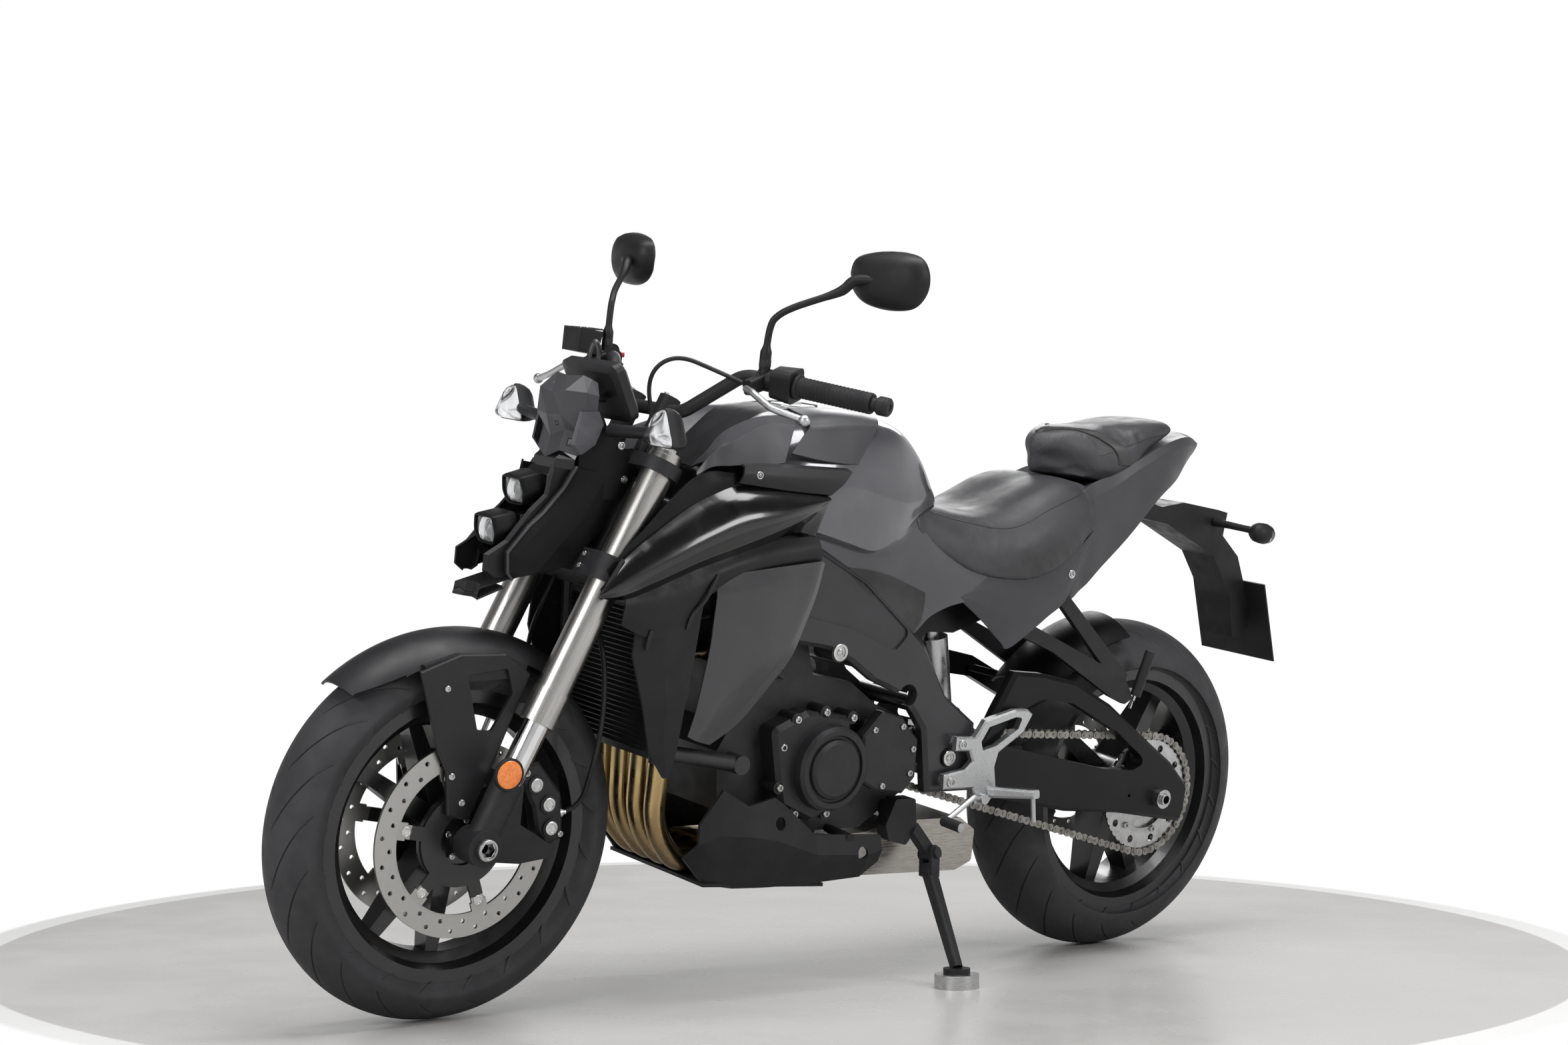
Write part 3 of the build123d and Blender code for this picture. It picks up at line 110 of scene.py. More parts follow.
# ---------------------------------------------------------------- shader helpers
def feed(tree, socket, value):
    """Give a socket its value, or link it where the value is another node's output."""
    if isinstance(value, bpy.types.NodeSocket):
        tree.links.new(value, socket)
    else:
        socket.default_value = value


def node(tree, kind, values=None, **settings):
    """New shader node with its settings and socket values; a value may be another node's output."""
    made = tree.nodes.new("ShaderNode" + kind)
    for name, value in settings.items():
        setattr(made, name, value)
    for name, value in (values or {}).items():
        feed(tree, made.inputs[name], value)
    return made


def shade(*parts):
    """RGBA of a colour given as three numbers, or of a grey given as one."""
    red, green, blue = parts if len(parts) == 3 else parts * 3
    return (red, green, blue, 1)


def blended(tree, factor, first, second):
    """Colour output of a mix of two colours."""
    mix = node(tree, "Mix", {"Factor": factor, 6: first, 7: second}, data_type="RGBA")
    return mix.outputs[2]


def ranged(tree, value, low, high, to_low, to_high):
    """Value mapped from one range onto another, smoothly, and held at its ends."""
    return node(tree, "MapRange", {"Value": value, "From Min": low, "From Max": high,
                                   "To Min": to_low, "To Max": to_high},
                interpolation_type="SMOOTHSTEP").outputs[0]


def calculated(tree, operation, *values):
    """Output of a Math node."""
    return node(tree, "Math", dict(enumerate(values)), operation=operation).outputs[0]


def vector(tree, operation, *values):
    """Outputs of a VectorMath node."""
    return node(tree, "VectorMath", dict(enumerate(values)), operation=operation).outputs


def noise(tree, where, scale, detail=4.0, roughness=0.55, stretch=None):
    """Noise on object coordinates; stretch gives a direction's three sizes for brushed streaks."""
    if stretch is not None:
        where = node(tree, "Mapping", {"Vector": where, "Scale": stretch}).outputs[0]
    return node(tree, "TexNoise", {"Vector": where, "Scale": scale, "Detail": detail,
                                   "Roughness": roughness}).outputs["Fac"]


class Finish:
    """Material under construction: its slot, its tree, its object coordinates and its main shader."""

    def __init__(self, name, slot="matt_black", metallic=0.0, coat=0.0, **sockets):
        self.slot = slot
        self.material = bpy.data.materials.new(name)
        self.material.use_nodes = True
        self.tree = self.material.node_tree
        self.tree.nodes.clear()
        self.shader = node(self.tree, "BsdfPrincipled", {"Metallic": metallic, "Coat Weight": coat,
                                                         "Coat Roughness": 0.05})
        for socket, value in sockets.items():
            self.shader.inputs[socket.replace("_", " ")].default_value = value
        out = node(self.tree, "OutputMaterial")
        self.tree.links.new(self.shader.outputs[0], out.inputs[0])
        self.where = node(self.tree, "TexCoord").outputs["Object"]

    def link(self, output, socket):
        self.tree.links.new(output, self.shader.inputs[socket])

    def paint(self, output):
        """Base colour from a node's output."""
        self.base = output
        self.link(output, "Base Color")
        return self

    def cloud(self, scale, low, high, to_low, to_high, stretch=None):
        """Noise whose middle range is mapped onto two values."""
        return ranged(self.tree, noise(self.tree, self.where, scale, stretch=stretch), low, high, to_low,
                      to_high)

    def colours(self, dark, light, scale=9.0, low=0.35, high=0.65, stretch=None):
        """Base colour that wanders between two tones."""
        return self.paint(blended(self.tree, self.cloud(scale, low, high, 0, 1, stretch), dark, light))

    def sheen_of(self, low, high, scale=25.0, stretch=None):
        """Roughness that wanders between two values."""
        self.link(self.cloud(scale, 0.3, 0.7, low, high, stretch), "Roughness")
        return self

    def grain(self, scale, depth, stretch=None, kind="noise"):
        """Bump of a fine grain over edges that are slightly rounded, with depth in metres."""
        if kind == "pebble":
            height = node(self.tree, "TexVoronoi", {"Vector": self.where, "Scale": scale},
                          feature="SMOOTH_F1").outputs["Distance"]
        else:
            height = noise(self.tree, self.where, scale, 3.0, stretch=stretch)
        rounded = node(self.tree, "Bevel", {"Radius": 0.0008}, samples=3).outputs[0]
        bump = node(self.tree, "Bump", {"Height": height, "Distance": depth, "Normal": rounded})
        self.link(bump.outputs[0], "Normal")
        return self

    def highlighted_edges(self, light, amount):
        """Painted highlight: lighter colour along an edge, found by the angle to the rounded normal and
        broken up by noise.
        """
        rounded = node(self.tree, "Bevel", {"Radius": 0.0016}, samples=3).outputs[0]
        flat = node(self.tree, "NewGeometry").outputs["Normal"]
        turn = vector(self.tree, "DOT_PRODUCT", rounded, flat)["Value"]
        # painted highlight: the base colour is lightened where the rounded normal turns away from the flat
        # one
        edge = ranged(self.tree, turn, 0.9, 0.995, amount, 0)
        broken = calculated(self.tree, "MULTIPLY", edge, noise(self.tree, self.where, 60))
        return self.paint(blended(self.tree, broken, self.base, light))


def brushed_along(made, way, square, scale, stretch):
    """Noise drawn out along a direction: its coordinate that way counts only stretch times."""
    lines = (way * stretch, square, np.cross(way, square))
    parts = [vector(made.tree, "DOT_PRODUCT", made.where, tuple(line))["Value"] for line in lines]
    turned_place = node(made.tree, "CombineXYZ", dict(enumerate(parts))).outputs[0]
    return noise(made.tree, turned_place, scale, 5.0, 0.6)


def cool(grey):
    """RGBA of a grey that leans a little to blue."""
    return shade(grey * 0.98, grey * 0.985, grey * 1.09)


def plastic(name, dark, light, low, high, grain_scale, grain_depth, edge_highlight=0.35, specular=0.5, **settings):
    """Plastic, paint or rubber: two greys, two roughnesses, the grain's scale and depth, and a painted
    highlight along its edges.
    """
    made = Finish(name, Specular_IOR_Level=specular, **settings).colours(cool(dark), cool(light))
    return made.sheen_of(low, high).grain(grain_scale, grain_depth).highlighted_edges(cool(light * 3 + 0.02), edge_highlight)


def metal(name, dark, light, low, high, stretch=None, scale=60, depth=0.00004, slot="steel"):
    """Bare metal: two tones, two roughnesses and a fine grain, drawn out where it is brushed."""
    made = Finish(name, slot, metallic=1.0).colours(dark, light, scale, 0.3, 0.7, stretch)
    return made.sheen_of(low, high, scale, stretch=stretch).grain(scale * 3, depth, stretch=stretch)


# ---------------------------------------------------------------- finishes
matt_black = plastic("matt_black_plastic", 0.009, 0.013, 0.42, 0.58, 900, 0.00010, specular=0.25)
deep_black = plastic("deep_black_plastic", 0.003, 0.005, 0.4, 0.55, 700, 0.00008, edge_highlight=0.3, specular=0.16)
gloss_black = plastic("gloss_black_paint", 0.004, 0.006, 0.14, 0.2, 40, 0.00002, coat=0.25, edge_highlight=0.1,
                      slot="gloss_black")
tank_paint = plastic("tank_paint", 0.075, 0.095, 0.16, 0.22, 300, 0.00002, coat=0.9, edge_highlight=0.05,
                     metallic=0.35, slot="gloss_black")
satin_grey = plastic("satin_grey_paint", 0.012, 0.016, 0.40, 0.5, 1400, 0.00004, edge_highlight=0.3, specular=0.3)
cowl_grey = plastic("cowl_grey_plastic", 0.065, 0.078, 0.42, 0.55, 900, 0.00012, edge_highlight=0.25, specular=0.3)
cover_grey = plastic("cover_grey_plastic", 0.034, 0.042, 0.36, 0.46, 900, 0.00006, edge_highlight=0.25, specular=0.4)
flank_black = plastic("satin_black_paint", 0.020, 0.026, 0.20, 0.28, 300, 0.00003, coat=0.3, edge_highlight=0.2,
                      slot="gloss_black")
rough_guard = plastic("mottled_guard", 0.002, 0.022, 0.3, 0.5, 160, 0.0006, edge_highlight=0.1)
frame_paint = plastic("satin_frame_paint", 0.050, 0.060, 0.34, 0.44, 500, 0.00008, coat=0.1, edge_highlight=0.3)
beam_paint = plastic("satin_beam_paint", 0.020, 0.026, 0.32, 0.42, 500, 0.00008, coat=0.1, edge_highlight=0.3,
                     specular=0.4)
arm_paint = plastic("satin_arm_paint", 0.004, 0.006, 0.3, 0.4, 500, 0.00008, edge_highlight=0.3, specular=0.2)
wheel_paint = plastic("wheel_paint", 0.007, 0.010, 0.26, 0.36, 700, 0.00005, coat=0.15, edge_highlight=0.15)
cast_black = plastic("cast_black_paint", 0.010, 0.016, 0.45, 0.6, 650, 0.00022, edge_highlight=0.5, specular=0.3,
                     slot="cast_black")
engine_paint = plastic("engine_paint", 0.012, 0.019, 0.38, 0.52, 420, 0.00025, edge_highlight=0.5, specular=0.35)
tyre_rubber = plastic("tyre_rubber", 0.020, 0.028, 0.62, 0.8, 800, 0.00012, edge_highlight=0.0, slot="tyre_rubber")
grip_rubber = plastic("grip_rubber", 0.010, 0.015, 0.6, 0.75, 800, 0.00010, edge_highlight=0.0, specular=0.3,
                      slot="grip_rubber")
hose_rubber = plastic("hose_rubber", 0.007, 0.010, 0.4, 0.55, 900, 0.00008, edge_highlight=0.0, specular=0.3,
                      slot="cord_rubber")
seat_vinyl = Finish("seat_vinyl", "seat_vinyl").colours(cool(0.024), cool(0.030)).sheen_of(0.46, 0.6)
seat_vinyl.grain(520, 0.0003, kind="pebble")
piping = Finish("seat_piping", "seat_vinyl").colours(shade(0.016), shade(0.022))
piping.sheen_of(0.4, 0.5).grain(700, 0.0001)

steel = metal("bright_steel", shade(0.36), shade(0.5), 0.22, 0.38)
bolt_steel = metal("bolt_steel", shade(0.45, 0.45, 0.44), shade(0.6, 0.6, 0.59), 0.2, 0.35)
chrome = metal("slider_chrome", shade(0.62), shade(0.7), 0.07, 0.13, stretch=(1, 1, 0.05))
silver_cast = metal("silver_casting", shade(0.42, 0.425, 0.43), shade(0.52, 0.525, 0.53), 0.34, 0.5,
                    scale=300, depth=0.00015, slot="silver_cast")
muffler_steel = metal("muffler_steel", shade(0.36, 0.335, 0.305), shade(0.46, 0.44, 0.415), 0.24, 0.36,
                      stretch=(0.06, 1, 1), scale=500, depth=0.00001)
chain_steel = metal("chain_steel", shade(0.16, 0.15, 0.135), shade(0.34, 0.33, 0.31), 0.3, 0.5)
fork_metal = Finish("brushed_fork_tube", metallic=1.0)
streaks = brushed_along(fork_metal, leg_way @ axes, left, 1500, 0.01)
fork_metal.paint(blended(fork_metal.tree, ranged(fork_metal.tree, streaks, 0.3, 0.7, 0, 1),
                         shade(0.36, 0.35, 0.335), shade(0.47, 0.46, 0.44)))
fork_metal.link(ranged(fork_metal.tree, streaks, 0.3, 0.7, 0.24, 0.38), "Roughness")
fork_metal.grain(900, 0.00002)
turned_alloy = metal("turned_alloy", shade(0.42, 0.42, 0.41), shade(0.55, 0.55, 0.54), 0.25, 0.4,
                     stretch=(1, 1, 14), scale=90)


def heat_tinted():
    """Header pipes: dark bronze at the ports, straw gold in the middle and brown by the collector."""
    made = Finish("heat_tinted_steel", metallic=1.0)
    height = node(made.tree, "SeparateXYZ", {"Vector": made.where}).outputs["Z"]
    cloud = noise(made.tree, made.where, 14)
    level = calculated(made.tree, "MULTIPLY_ADD", cloud, 0.12, height)
    ramp = node(made.tree, "ValToRGB", {"Fac": ranged(made.tree, level, 0.2, 0.68, 0, 1)})
    stops = [(0.0, shade(0.20, 0.15, 0.10)), (0.3, shade(0.38, 0.27, 0.13)), (0.6, shade(0.44, 0.33, 0.16)),
             (0.85, shade(0.30, 0.20, 0.12)), (1.0, shade(0.20, 0.15, 0.13))]
    while len(ramp.color_ramp.elements) < len(stops):
        ramp.color_ramp.elements.new(0.5)
    for element, (position, tint) in zip(ramp.color_ramp.elements, stops):
        element.position, element.color = position, tint
    made.paint(ramp.outputs["Color"])
    return made.sheen_of(0.22, 0.4).grain(300, 0.00005)


def from_axle(made, hub):
    """Distance in metres of a point from a wheel's axis."""
    shifted = vector(made.tree, "SUBTRACT", made.where, tuple(hub))[0]
    across = vector(made.tree, "CROSS_PRODUCT", shifted, tuple(left))[0]
    return vector(made.tree, "LENGTH", across)["Value"]


def disc_steel(name, hub, rub_inner, carrier):
    """Brake disc: grey steel band turned in fine rings, on a dark carrier inside the given radius."""
    made = Finish(name)
    radius = from_axle(made, hub)
    rings = node(made.tree, "TexNoise", {"W": calculated(made.tree, "MULTIPLY", radius, 2600), "Scale": 1.0,
                                         "Detail": 2.0}, noise_dimensions="1D").outputs["Fac"]
    band = blended(made.tree, rings, shade(0.30, 0.295, 0.28), shade(0.46, 0.455, 0.44))
    swept = blended(made.tree, ranged(made.tree, radius, rub_inner - 0.001, rub_inner + 0.001, 0, 1),
                    shade(0.36, 0.355, 0.34), band)
    outer = ranged(made.tree, radius, carrier - 0.0005, carrier + 0.0005, 0, 1)
    made.paint(blended(made.tree, outer, shade(0.014), swept))
    made.link(outer, "Metallic")
    made.link(ranged(made.tree, rings, 0.3, 0.7, 0.28, 0.42), "Roughness")
    return made.grain(900, 0.00002)


header_steel = heat_tinted()
front_disc_steel = disc_steel("front_disc_steel", front_hub, 0.121, 0.0965)
rear_disc_steel = disc_steel("rear_disc_steel", rear_hub, 0.094, 0.0725)


def glass(name, tint, roughness=0.02):
    """Lens plastic that light passes through, hazier as its roughness grows."""
    made = Finish(name, "lens_clear", Transmission_Weight=1.0, IOR=1.45, Base_Color=tint)
    return made.sheen_of(roughness, roughness + 0.02, 30)


clear_lens = glass("clear_lens", shade(0.95, 0.96, 0.97))
frosted_lens = glass("frosted_lens", shade(0.93, 0.94, 0.96), 0.22)
smoked_lens = glass("smoked_lens", shade(0.12, 0.12, 0.125), 0.05)
amber_lens = Finish("amber_reflector", "lens_clear", coat=0.8)
amber_lens.colours(shade(0.75, 0.16, 0.01), shade(0.9, 0.25, 0.02), 220)
amber_lens.sheen_of(0.12, 0.25).grain(260, 0.0006, kind="pebble")
mirror_glass = metal("mirror_glass", shade(0.78), shade(0.8), 0.02, 0.03, slot="hard_chrome")
radiator_fins = plastic("radiator_core", 0.012, 0.02, 0.4, 0.55, 300, 0.0002, slot="cast_black")

finish_of_node = {
    tyre_rubber: ["front_tyre", "rear_tyre"],
    wheel_paint: ["front_rim", "rear_rim"],
    front_disc_steel: ["front_discs"],
    rear_disc_steel: ["rear_disc"],
    steel: ["rear_sprocket", "front_axle", "rear_axle", "rear_shock"],
    fork_metal: ["fork_tubes"],
    chrome: ["fork_sliders"],
    cast_black: ["axle_carriers", "fork_yokes", "front_calipers", "rear_caliper", "pillion_hangers",
                 "stand_bracket", "side_stand", "handlebar"],
    hose_rubber: ["brake_hoses", "clutch_cable"],
    satin_grey: ["front_fender", "meter"],
    matt_black: ["bar_controls", "mirror_left", "mirror_right", "headlight_cowl", "radiator_shrouds",
                 "belly_pan", "side_covers", "tail_cowl", "tank_cover", "plate_holder"],
    deep_black: ["hugger"],
    gloss_black: ["fuel_tank", "side_shrouds", "side_panels"],
    beam_paint: ["main_frame"],
    arm_paint: ["subframe", "swingarm"],
    engine_paint: ["engine_block", "engine_covers"],
    header_steel: ["exhaust_headers"],
    muffler_steel: ["muffler"],
    radiator_fins: ["radiator"],
    seat_vinyl: ["rider_seat", "pillion_seat"],
    silver_cast: ["levers", "footrest_hangers", "foot_controls", "fuel_cap"],
    grip_rubber: ["grips"],
    clear_lens: ["front_lamps", "headlight_lenses"],
    smoked_lens: ["rear_lamps"],
    chain_steel: ["chain"],
    turned_alloy: ["stand_puck"],
}
for finish, names in finish_of_node.items():
    for name in names:
        if name in nodes:
            nodes[name].data.materials.clear()
            nodes[name].data.materials.append(finish.material)


# ---------------------------------------------------------------- shapes as arrays
def grid(rows, columns, wrap_rows=False, wrap_columns=False):
    """Four-sided faces between the points of a grid, closed on itself in either direction."""
    r = np.arange(rows if wrap_rows else rows - 1)[:, None]
    c = np.arange(columns if wrap_columns else columns - 1)[None, :]
    below, beside = (r + 1) % rows, (c + 1) % columns
    corners = [r * columns + c, r * columns + beside, below * columns + beside, below * columns + c]
    return np.stack(np.broadcast_arrays(*corners), -1).reshape(-1, 4)


def joined(shapes):
    """Several (points, faces) as one."""
    points, faces, count = [], [], 0
    for some, quads in shapes:
        points.append(some)
        faces.append(quads + count)
        count += len(some)
    return np.concatenate(points), np.concatenate(faces)


def square_to(way):
    """Two unit directions square to a direction."""
    way = unit(way)
    one = unit(np.cross(way, skyward if abs(way[2]) < 0.8 else forward))
    return one, np.cross(way, one)


def turned(profile, centre, way, sides=48):
    """Profile of (distance along, radius) points turned about an axis from centre along way."""
    profile = np.asarray(profile, float)
    one, two = square_to(way)
    angle = np.linspace(0, 2 * np.pi, sides, endpoint=False)
    spoke = np.cos(angle)[:, None] * one + np.sin(angle)[:, None] * two
    points = centre + profile[None, :, :1] * unit(way) + profile[None, :, 1:] * spoke[:, None, :]
    return points.reshape(-1, 3), grid(sides, len(profile), wrap_rows=True)


def tube(path, radius, sides=12):
    """Round bar along a path: each ring is square to the path's own direction there, with closed ends."""
    path = np.asarray(path, float)
    way = np.gradient(path, axis=0)
    way /= np.linalg.norm(way, axis=1)[:, None]
    helper = square_to(way.mean(0) if np.linalg.norm(way.mean(0)) > 0.1 else way[0])[0]
    one = np.cross(way, helper)
    one /= np.linalg.norm(one, axis=1)[:, None]
    two = np.cross(way, one)
    radius = np.broadcast_to(radius, len(path)).astype(float)
    angle = np.linspace(0, 2 * np.pi, sides, endpoint=False)
    ring = np.cos(angle)[None, :, None] * one[:, None] + np.sin(angle)[None, :, None] * two[:, None]
    points = path[:, None] + ring * radius[:, None, None]
    points = np.concatenate([np.repeat(path[:1, None], sides, 1), points,
                             np.repeat(path[-1:, None], sides, 1)])
    return points.reshape(-1, 3), grid(len(path) + 2, sides, wrap_columns=True)


def eased(at, stations, values):
    """Smooth curve through values at the stations: cubic pieces whose slopes are the neighbours' chords."""
    stations, values = np.asarray(stations, float), np.asarray(values, float)
    slope = np.gradient(values, stations, axis=0)
    i = np.clip(np.searchsorted(stations, at) - 1, 0, len(stations) - 2)
    level = (-1,) + (1,) * (values.ndim - 1)
    gap = (stations[i + 1] - stations[i]).reshape(level)
    t = np.clip((at - stations[i]).reshape(level) / gap, 0, 1)
    return ((2 * t**3 - 3 * t**2 + 1) * values[i] + (t**3 - 2 * t**2 + t) * gap * slope[i]
            + (3 * t**2 - 2 * t**3) * values[i + 1] + (t**3 - t**2) * gap * slope[i + 1])


def refined(net, steps):
    """Net made finer along its first side, by cubic pieces through its points."""
    count = len(net)
    return eased(np.linspace(0, count - 1, steps * (count - 1) + 1), np.arange(count), net)


crease_angle = np.radians(36)


def welded(name, shape):
    """Mesh from (points, faces) in upright millimetres, its doubles merged and its faces outward."""
    points, faces = shape
    mesh = bpy.data.meshes.new(name)
    mesh.from_pydata(placed(points).tolist(), [], faces.tolist())
    shape_of = bmesh.new()
    shape_of.from_mesh(mesh)
    bmesh.ops.remove_doubles(shape_of, verts=shape_of.verts, dist=0.00002)
    bmesh.ops.recalc_face_normals(shape_of, faces=shape_of.faces)
    shape_of.to_mesh(mesh)
    shape_of.free()
    return mesh


def attached(made, finish, body, replaced=()):
    """Give an object its finish, and let it ride on a body in place of CAD nodes."""
    made.data.materials.append(finish.material)
    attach(made, body)
    for node_name in replaced:
        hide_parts(node_name)
    return made


def piece(name, shape, finish, body="chassis", replaced=(), smooth=True):
    """Object of a welded mesh, smooth but for its creases, or flat all over."""
    mesh = welded(name, shape)
    if smooth:
        mesh.shade_smooth()
        mesh.set_sharp_from_angle(angle=crease_angle)
    else:
        mesh.shade_flat()
    return attached(linked(name, mesh), finish, body, replaced)


def mirrored(shape):
    """The same (points, faces) on the machine's right side."""
    points, faces = shape
    return points * np.array([1, -1, 1]), faces[:, ::-1]


def both(shape):
    """A shape and its twin on the other side."""
    return joined([shape, mirrored(shape)])


# ---------------------------------------------------------------- tyres
pitches, groove_depth = 20, 3.2


def tread_tyre(name, hub, radius, crown, half, bead, body):
    """Tyre whose grid lines run along its slanted grooves, from its crown's radius and two half widths.

    Rings go from one bead over the crown to the other.  A point's angle is its own place round the
    wheel plus a slant that grows with its distance from the middle, so each groove lies along one
    grid line; the groove's depth is taken off the radius there.
    """
    shoulder = radius - crown + np.sqrt(crown**2 - half**2)
    edge = np.arcsin(half / crown)
    arc = np.linspace(-edge, edge, 41)
    y = np.concatenate([[-bead + 0.6, -bead - 5, -bead - 9, -half * 0.5 - bead * 0.5 - 6, -half + 0.2],
                        crown * np.sin(arc)])
    r = np.concatenate([[217, 231.5, 236, 0.5 * (236 + shoulder), shoulder - 4],
                        radius - crown + crown * np.cos(arc)])
    y, r = np.concatenate([y, -y[4::-1]]), np.concatenate([r, r[4::-1]])
    share = np.clip(np.abs(y) / half, 0, 1)
    pitch = 2 * np.pi / pitches
    lines = np.array([0, 0.018, 0.034, 0.052, 0.07, 0.2, 0.35, 0.5, 0.518, 0.534, 0.552, 0.57, 0.72, 0.86])
    place_in_pitch = np.tile(lines, pitches)
    turn = (np.repeat(np.arange(pitches), len(lines)) + place_in_pitch) * pitch
    slant = pitch * (1.15 * share + 0.5 * share**2)
    angle = turn[:, None] + slant[None, :]
    near = np.where(y[None, :] > 0, place_in_pitch[:, None], (place_in_pitch[:, None] + 0.5) % 1.0)
    cut = np.clip(1 - np.abs(near - 0.035) / 0.018, 0, 1) > 0.02
    grooved = (share > 0.16) & (share < 0.93)
    from_hub = r[None, :] - np.where(cut & grooved[None, :], groove_depth, 0.0)
    points = np.stack([hub[0] + from_hub * np.cos(angle), np.broadcast_to(y, angle.shape),
                       hub[2] + from_hub * np.sin(angle)], -1)
    faces = grid(len(turn), len(y), wrap_rows=True, wrap_columns=True)
    piece(name + "_tread", (points.reshape(-1, 3), faces), tyre_rubber, body, [name])


tread_tyre("front_tyre", front_axle, front_radius, 62, 60, 44, "front_wheel")
tread_tyre("rear_tyre", rear_axle, rear_radius, 92, 90, 69, "rear_wheel")

# ---------------------------------------------------------------- small hardware
def moulded(centre, out, up, faces, sharpness, profile, sides=48):
    """Form whose section is a rounded polygon.

    faces gives each flat's direction in degrees and its distance from the middle.  Towards an
    angle, the rim lies at the sum, over the flats, of the cosine of the angle between them over the
    flat's distance, raised to the sharpness, and then to minus its inverse.  The profile's points
    are (distance along out, share of the rim).
    """
    out = unit(out)
    up = unit(up - np.dot(up, out) * out)
    across = np.cross(up, out)
    angle = np.linspace(0, 2 * np.pi, sides, endpoint=False)
    turn, distance = np.array(faces, float).T
    near = np.maximum(np.cos(angle[:, None] - np.radians(turn)[None, :]), 0) / distance[None, :]
    rim = (near**sharpness).sum(1) ** (-1 / sharpness)
    profile = np.asarray(profile, float)
    flat = np.cos(angle)[:, None] * across + np.sin(angle)[:, None] * up
    points = centre + profile[None, :, :1] * out + profile[None, :, 1:] * (rim[:, None] * flat)[:, None, :]
    return points.reshape(-1, 3), grid(sides, len(profile), wrap_rows=True)


def oblong(half_width, half_height):
    """Flats of a rectangle for moulded()."""
    return [(0, half_width), (90, half_height), (180, half_width), (270, half_height)]


def hexagon(half_width):
    """Flats of a hexagon for moulded()."""
    return [(60 * flat, half_width) for flat in range(6)]


def cap_screw(place, way, radius, height):
    """Cap screw with an eased rim and a socket that is a hexagon through moulded()'s rim."""
    head = turned([(-0.6, 0), (-0.6, radius), (height - 0.15 * radius, radius), (height, 0.85 * radius),
                   (height, 0.6 * radius)], place, way, 24)
    socket = moulded(place, way, square_to(way)[0], hexagon(0.5 * radius), 14,
                     [(height, 1.2), (height, 1.0), (0.4 * height, 0.98), (0.4 * height, 0)], 24)
    return joined([head, socket])


def washer_bolt(place, way, radius):
    """Bolt sunk in a turned ring."""
    ring = turned([(-0.6, 0.6 * radius), (-0.6, radius), (2.2, radius), (2.8, 0.94 * radius),
                   (2.8, 0.68 * radius), (0.8, 0.64 * radius), (0.8, 0)], place, way, 36)
    return joined([ring, cap_screw(np.add(place, 0.8 * np.array(way)), way, 0.46 * radius, 2.6)])


def round_places(centre, radius, count, start, y):
    """Points spaced round a wheel's axis."""
    angle = np.radians(start) + np.arange(count) * 2 * np.pi / count
    return [(centre[0] + radius * np.cos(a), y, centre[2] + radius * np.sin(a)) for a in angle]


def screws(places, way, radius, height):
    """Cap screws at several places that all face the same way."""
    return [cap_screw(place, way, radius, height) for place in places]


def at_side(y, *spots):
    """Points at one distance from the middle plane, from the (x, z) of each."""
    return [(x, y, z) for x, z in spots]


def hardware(name, shapes, body="chassis", twin=True):
    """Bright screws and rings as one piece, as a rule with their twins on the other side."""
    shape = joined(shapes)
    piece(name, both(shape) if twin else shape, bolt_steel, body)


rivet = [(-0.4, 0), (-0.4, 8.6), (0.9, 8.6), (1.3, 7.8), (1.3, 5.2), (0.7, 4.8), (0.7, 0)]
front_disc_face, rear_disc_face = 67.2, -90.4
carrier_bolts = screws(round_places(front_axle, 31, 5, 20, front_disc_face), leftward, 5, 3.4)
hardware("front_disc_rivets",
         carrier_bolts + [turned(rivet, place, leftward, 28)
                          for place in round_places(front_axle, 104, 6, 10, front_disc_face)], "front_wheel")
hardware("rear_disc_rivets", [turned(rivet, place, rightward, 28)
                              for place in round_places(rear_axle, 80, 5, 10, rear_disc_face)],
         "rear_wheel", twin=False)
hardware("sprocket_nuts", screws(round_places(rear_axle, 73, 6, 8, 117.4), leftward, 6, 5), "rear_wheel",
         twin=False)

valve_angle = np.radians(110)
valve_way = (np.cos(valve_angle), 0, np.sin(valve_angle))
valve = [(150, 0), (150, 3), (160, 3), (160, 2.4), (164, 2.4), (166, 4.2), (192, 4.2), (196, 7), (197, 0)]
for wheel, axle in (("front", front_axle), ("rear", rear_axle)):
    hardware(wheel + "_valve", [turned(valve, axle + (0, 6, 0), valve_way, 20)], wheel + "_wheel", twin=False)

engine_screws = screws(at_side(139, (905, 440), (880, 486), (820, 497), (760, 486), (748, 420), (752, 352),
                               (800, 324), (868, 326), (905, 372)), leftward, 6.5, 5)
engine_screws += screws(at_side(-142, (912, 462), (864, 484), (752, 458), (700, 402), (728, 350), (826, 322),
                                (888, 348)), rightward, 6, 5)
engine_screws += screws(at_side(150, (718, 466), (656, 470), (628, 430), (630, 388), (690, 368)), leftward,
                        5.5, 4)
engine_screws += screws(round_places((780, 0, 404), 84, 8, 12, -157.6), rightward, 5, 4)
hardware("engine_screws", engine_screws, twin=False)

hardware("frame_bolts", [washer_bolt(place, leftward, radius) for place, radius in
                         (((812, 150, 600), 15), ((545, 154, 412), 14), ((533, 173, 439), 9),
                          ((552, 173, 373), 9))])

caliper_cap = [(-0.4, 0), (-0.4, 11), (1.2, 11), (1.8, 10), (1.8, 7), (0.9, 6.4), (0.9, 0)]
caliper_caps = [turned(caliper_cap, place, leftward, 32)
                for place in at_side(99.6, (1322, 318), (1330, 356), (1356, 388))]
caliper_caps += [cap_screw((1376, 96.6, 408), leftward, 6, 5), cap_screw((1304, 96.6, 308), leftward, 5, 4)]
hardware("caliper_caps", caliper_caps, "steering")

axle_rings = turned([(-0.5, 15), (-0.5, 16.6), (1.5, 16.6), (2, 15.8), (2, 13.2), (-0.5, 12.6)],
                    (wheelbase, 140, front_radius), leftward, 40)
piece("axle_rings", both(axle_rings), steel, "steering")

